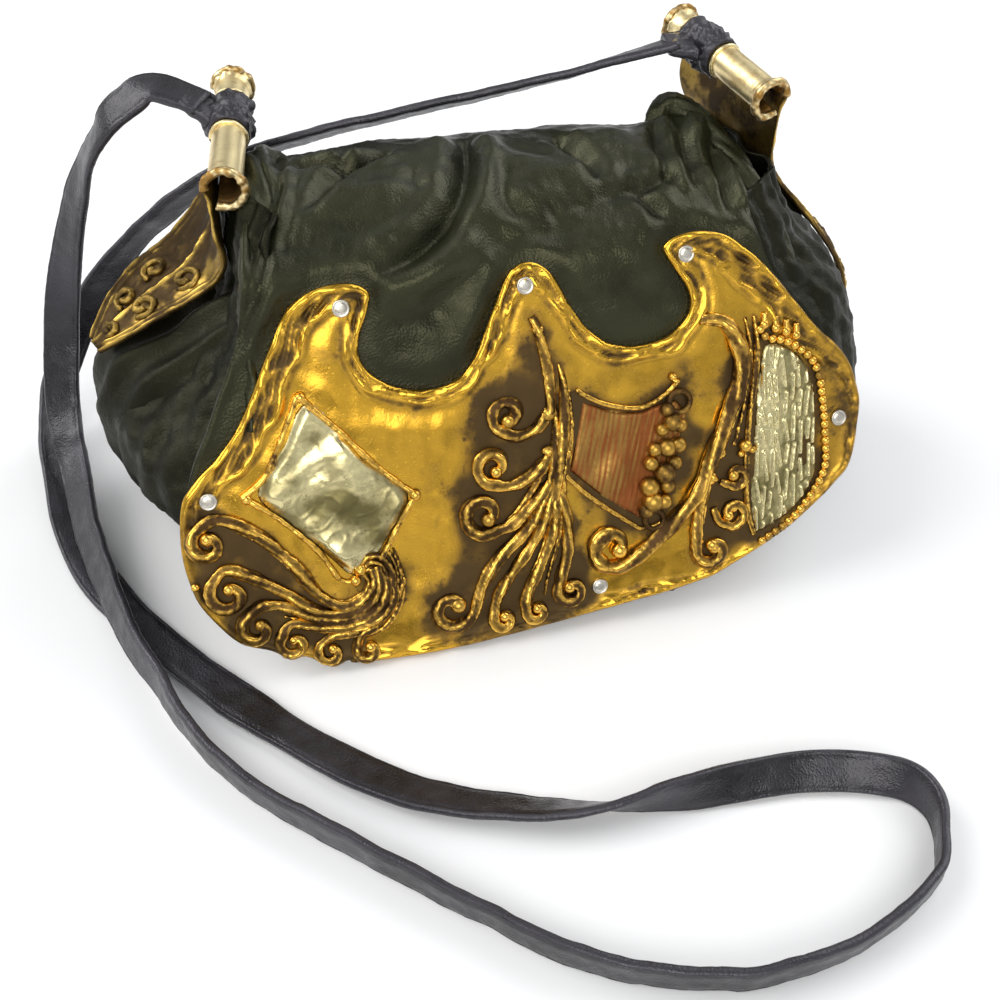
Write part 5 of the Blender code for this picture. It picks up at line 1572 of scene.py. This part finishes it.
def make_loop(name, ends, loop_at, node_name, tail_to, seed):
    """The strap's end, wrapped and crumpled round the tube, with its tail to the strap."""
    near, along, outward, up, _ = tube_frame(ends)
    inner = TUBE_RADIUS + TUBE_WALL / 2 + LOOP_CLEAR
    angle = np.linspace(0, 2 * math.pi, 73)[:-1]
    places = np.linspace(-LOOP_WIDTH / 2, LOOP_WIDTH / 2, 30)
    direction = around(outward, up, angle)[None]
    centres = (near + along * (loop_at + places)[:, None])[:, None, :]
    spots = centres + direction * (inner + LOOP_WALL)
    edge = 1 - np.abs(places / (LOOP_WIDTH / 2)) ** 8
    lift = ripples(spots, (1.0, 7, seed), (0.5, 3, seed + 1)) * edge[:, None]
    outside = spots + direction * (lift - 0.8 * (1 - edge)[:, None])[..., None]
    section = np.concatenate([outside, (centres + direction * inner)[::-1]])
    ring = (section.reshape(-1, 3), grid_faces(len(section), len(angle), True, True))
    finish = np.array(tail_to, float)
    start = near + along * loop_at + unit(finish - near - along * loop_at) * inner
    heading = unit(finish - start)
    t = np.linspace(0, 1, 16)[:, None]
    path = start + (finish - start) * t
    across = unit(along - heading * (heading @ along))
    normal = np.cross(heading, across)
    half_width = (LOOP_WIDTH / 2 - 0.5) * (1 - t) + STRAP_WIDTH / 2 * t
    half_height = TAIL_HALVES[0] * (1 - t) + TAIL_HALVES[1] * t
    section = band_section()
    tail = (path[:, None, :] + across * (section[:, 0] * half_width)[..., None]
            + normal * (section[:, 1] * half_height)[..., None])
    tail = tail + normal * (0.4 * ripple(tail, 5, seed + 2))[..., None]
    points, faces = join([ring, (tail.reshape(-1, 3), tube_faces(len(path), len(section)))])
    wear_and_fold_shade = np.clip(0.4 + 0.6 * ripple(points, 4, seed + 3), 0, 1)
    add_mesh(name, points, faces, STRAP_LEATHER, [node_name], {"wear_and_fold_shade": wear_and_fold_shade})


make_strip("worked_strip_left", LEFT_TUBE, LEFT_LOOP_AT, LEFT_ROWS, "side_strip_left",
           LEFT_CLEAR, 310)
make_strip("worked_strip_right", RIGHT_TUBE, RIGHT_LOOP_AT, RIGHT_ROWS, "side_strip_right", 0, 340)
make_loop("crumpled_loop_left", LEFT_TUBE, LEFT_LOOP_AT, "strap_loop_left", LEFT_TAIL_TO, 370)
make_loop("crumpled_loop_right", RIGHT_TUBE, RIGHT_LOOP_AT, "strap_loop_right", RIGHT_TAIL_TO, 380)


# Floor and light

# In metres.
FLOOR_SIZE = 4.0
FLOOR_DROP = 0.0004


def make_floor():
    """A pale matt surface under the bag, which is stage only."""
    n = Nodes("pale_floor")
    n.set(Base_Color=n.mix(n.noise(300, 2.0), rgb(0.86, 0.86, 0.87), rgb(0.9, 0.9, 0.9)))
    n.shader.inputs["Roughness"].default_value = 0.7
    mesh = bpy.data.meshes.new("floor")
    s = FLOOR_SIZE / 2
    mesh.from_pydata([(-s, -s, 0), (s, -s, 0), (s, s, 0), (-s, s, 0)], [], [(0, 1, 2, 3)])
    mesh.materials.append(n.material)
    floor = bpy.data.objects.new("floor", mesh)
    floor.location.z = -FLOOR_DROP
    bpy.context.scene.collection.objects.link(floor)


# Large soft lights far away: name, the direction they stand in, strength, degrees wide, colour.
LIGHTS = (
    ("left", (-0.75, 0.3, 0.7), 1.7, 44, (1.0, 0.99, 0.97)),
    ("right", (0.85, 0.35, 0.75), 1.3, 50, (0.98, 0.99, 1.0)),
    ("front", (-0.25, -1.0, 0.8), 1.5, 44, (1.0, 0.99, 0.96)),
)
# The room: how large its patches are, the span of noise that they take, and their light.
WORLD_PATCH = 2.2
WORLD_NOISE = (0.38, 0.68)
WORLD_LEVELS = (0.12, 0.9)


def make_lights():
    """Wide soft lights, and a dim room with a few pale patches for the metals to reflect."""
    for name, direction, strength, width, colour in LIGHTS:
        data = bpy.data.lights.new(name, 'SUN')
        data.angle = math.radians(width)
        data.energy = strength
        data.color = colour
        light = bpy.data.objects.new(name, data)
        light.rotation_euler = Vector(direction).to_track_quat('Z', 'Y').to_euler()
        bpy.context.scene.collection.objects.link(light)
    world = bpy.data.worlds.new("studio")
    world.use_nodes = True
    tree = world.node_tree
    place = tree.nodes.new("ShaderNodeTexCoord")
    patches = tree.nodes.new("ShaderNodeTexNoise")
    patches.inputs["Scale"].default_value = WORLD_PATCH
    patches.inputs["Detail"].default_value = 1.0
    level = tree.nodes.new("ShaderNodeMapRange")
    level.interpolation_type = 'SMOOTHSTEP'
    limits = zip(("From Min", "From Max", "To Min", "To Max"), WORLD_NOISE + WORLD_LEVELS)
    for name, value in limits:
        level.inputs[name].default_value = value
    background = tree.nodes["Background"]
    background.inputs["Color"].default_value = rgb(0.93, 0.96, 1.0)
    tree.links.new(place.outputs["Generated"], patches.inputs["Vector"])
    tree.links.new(patches.outputs["Fac"], level.inputs["Value"])
    tree.links.new(level.outputs["Result"], background.inputs["Strength"])
    bpy.context.scene.world = world
    bpy.context.scene.view_settings.view_transform = 'Standard'


make_floor()
make_lights()
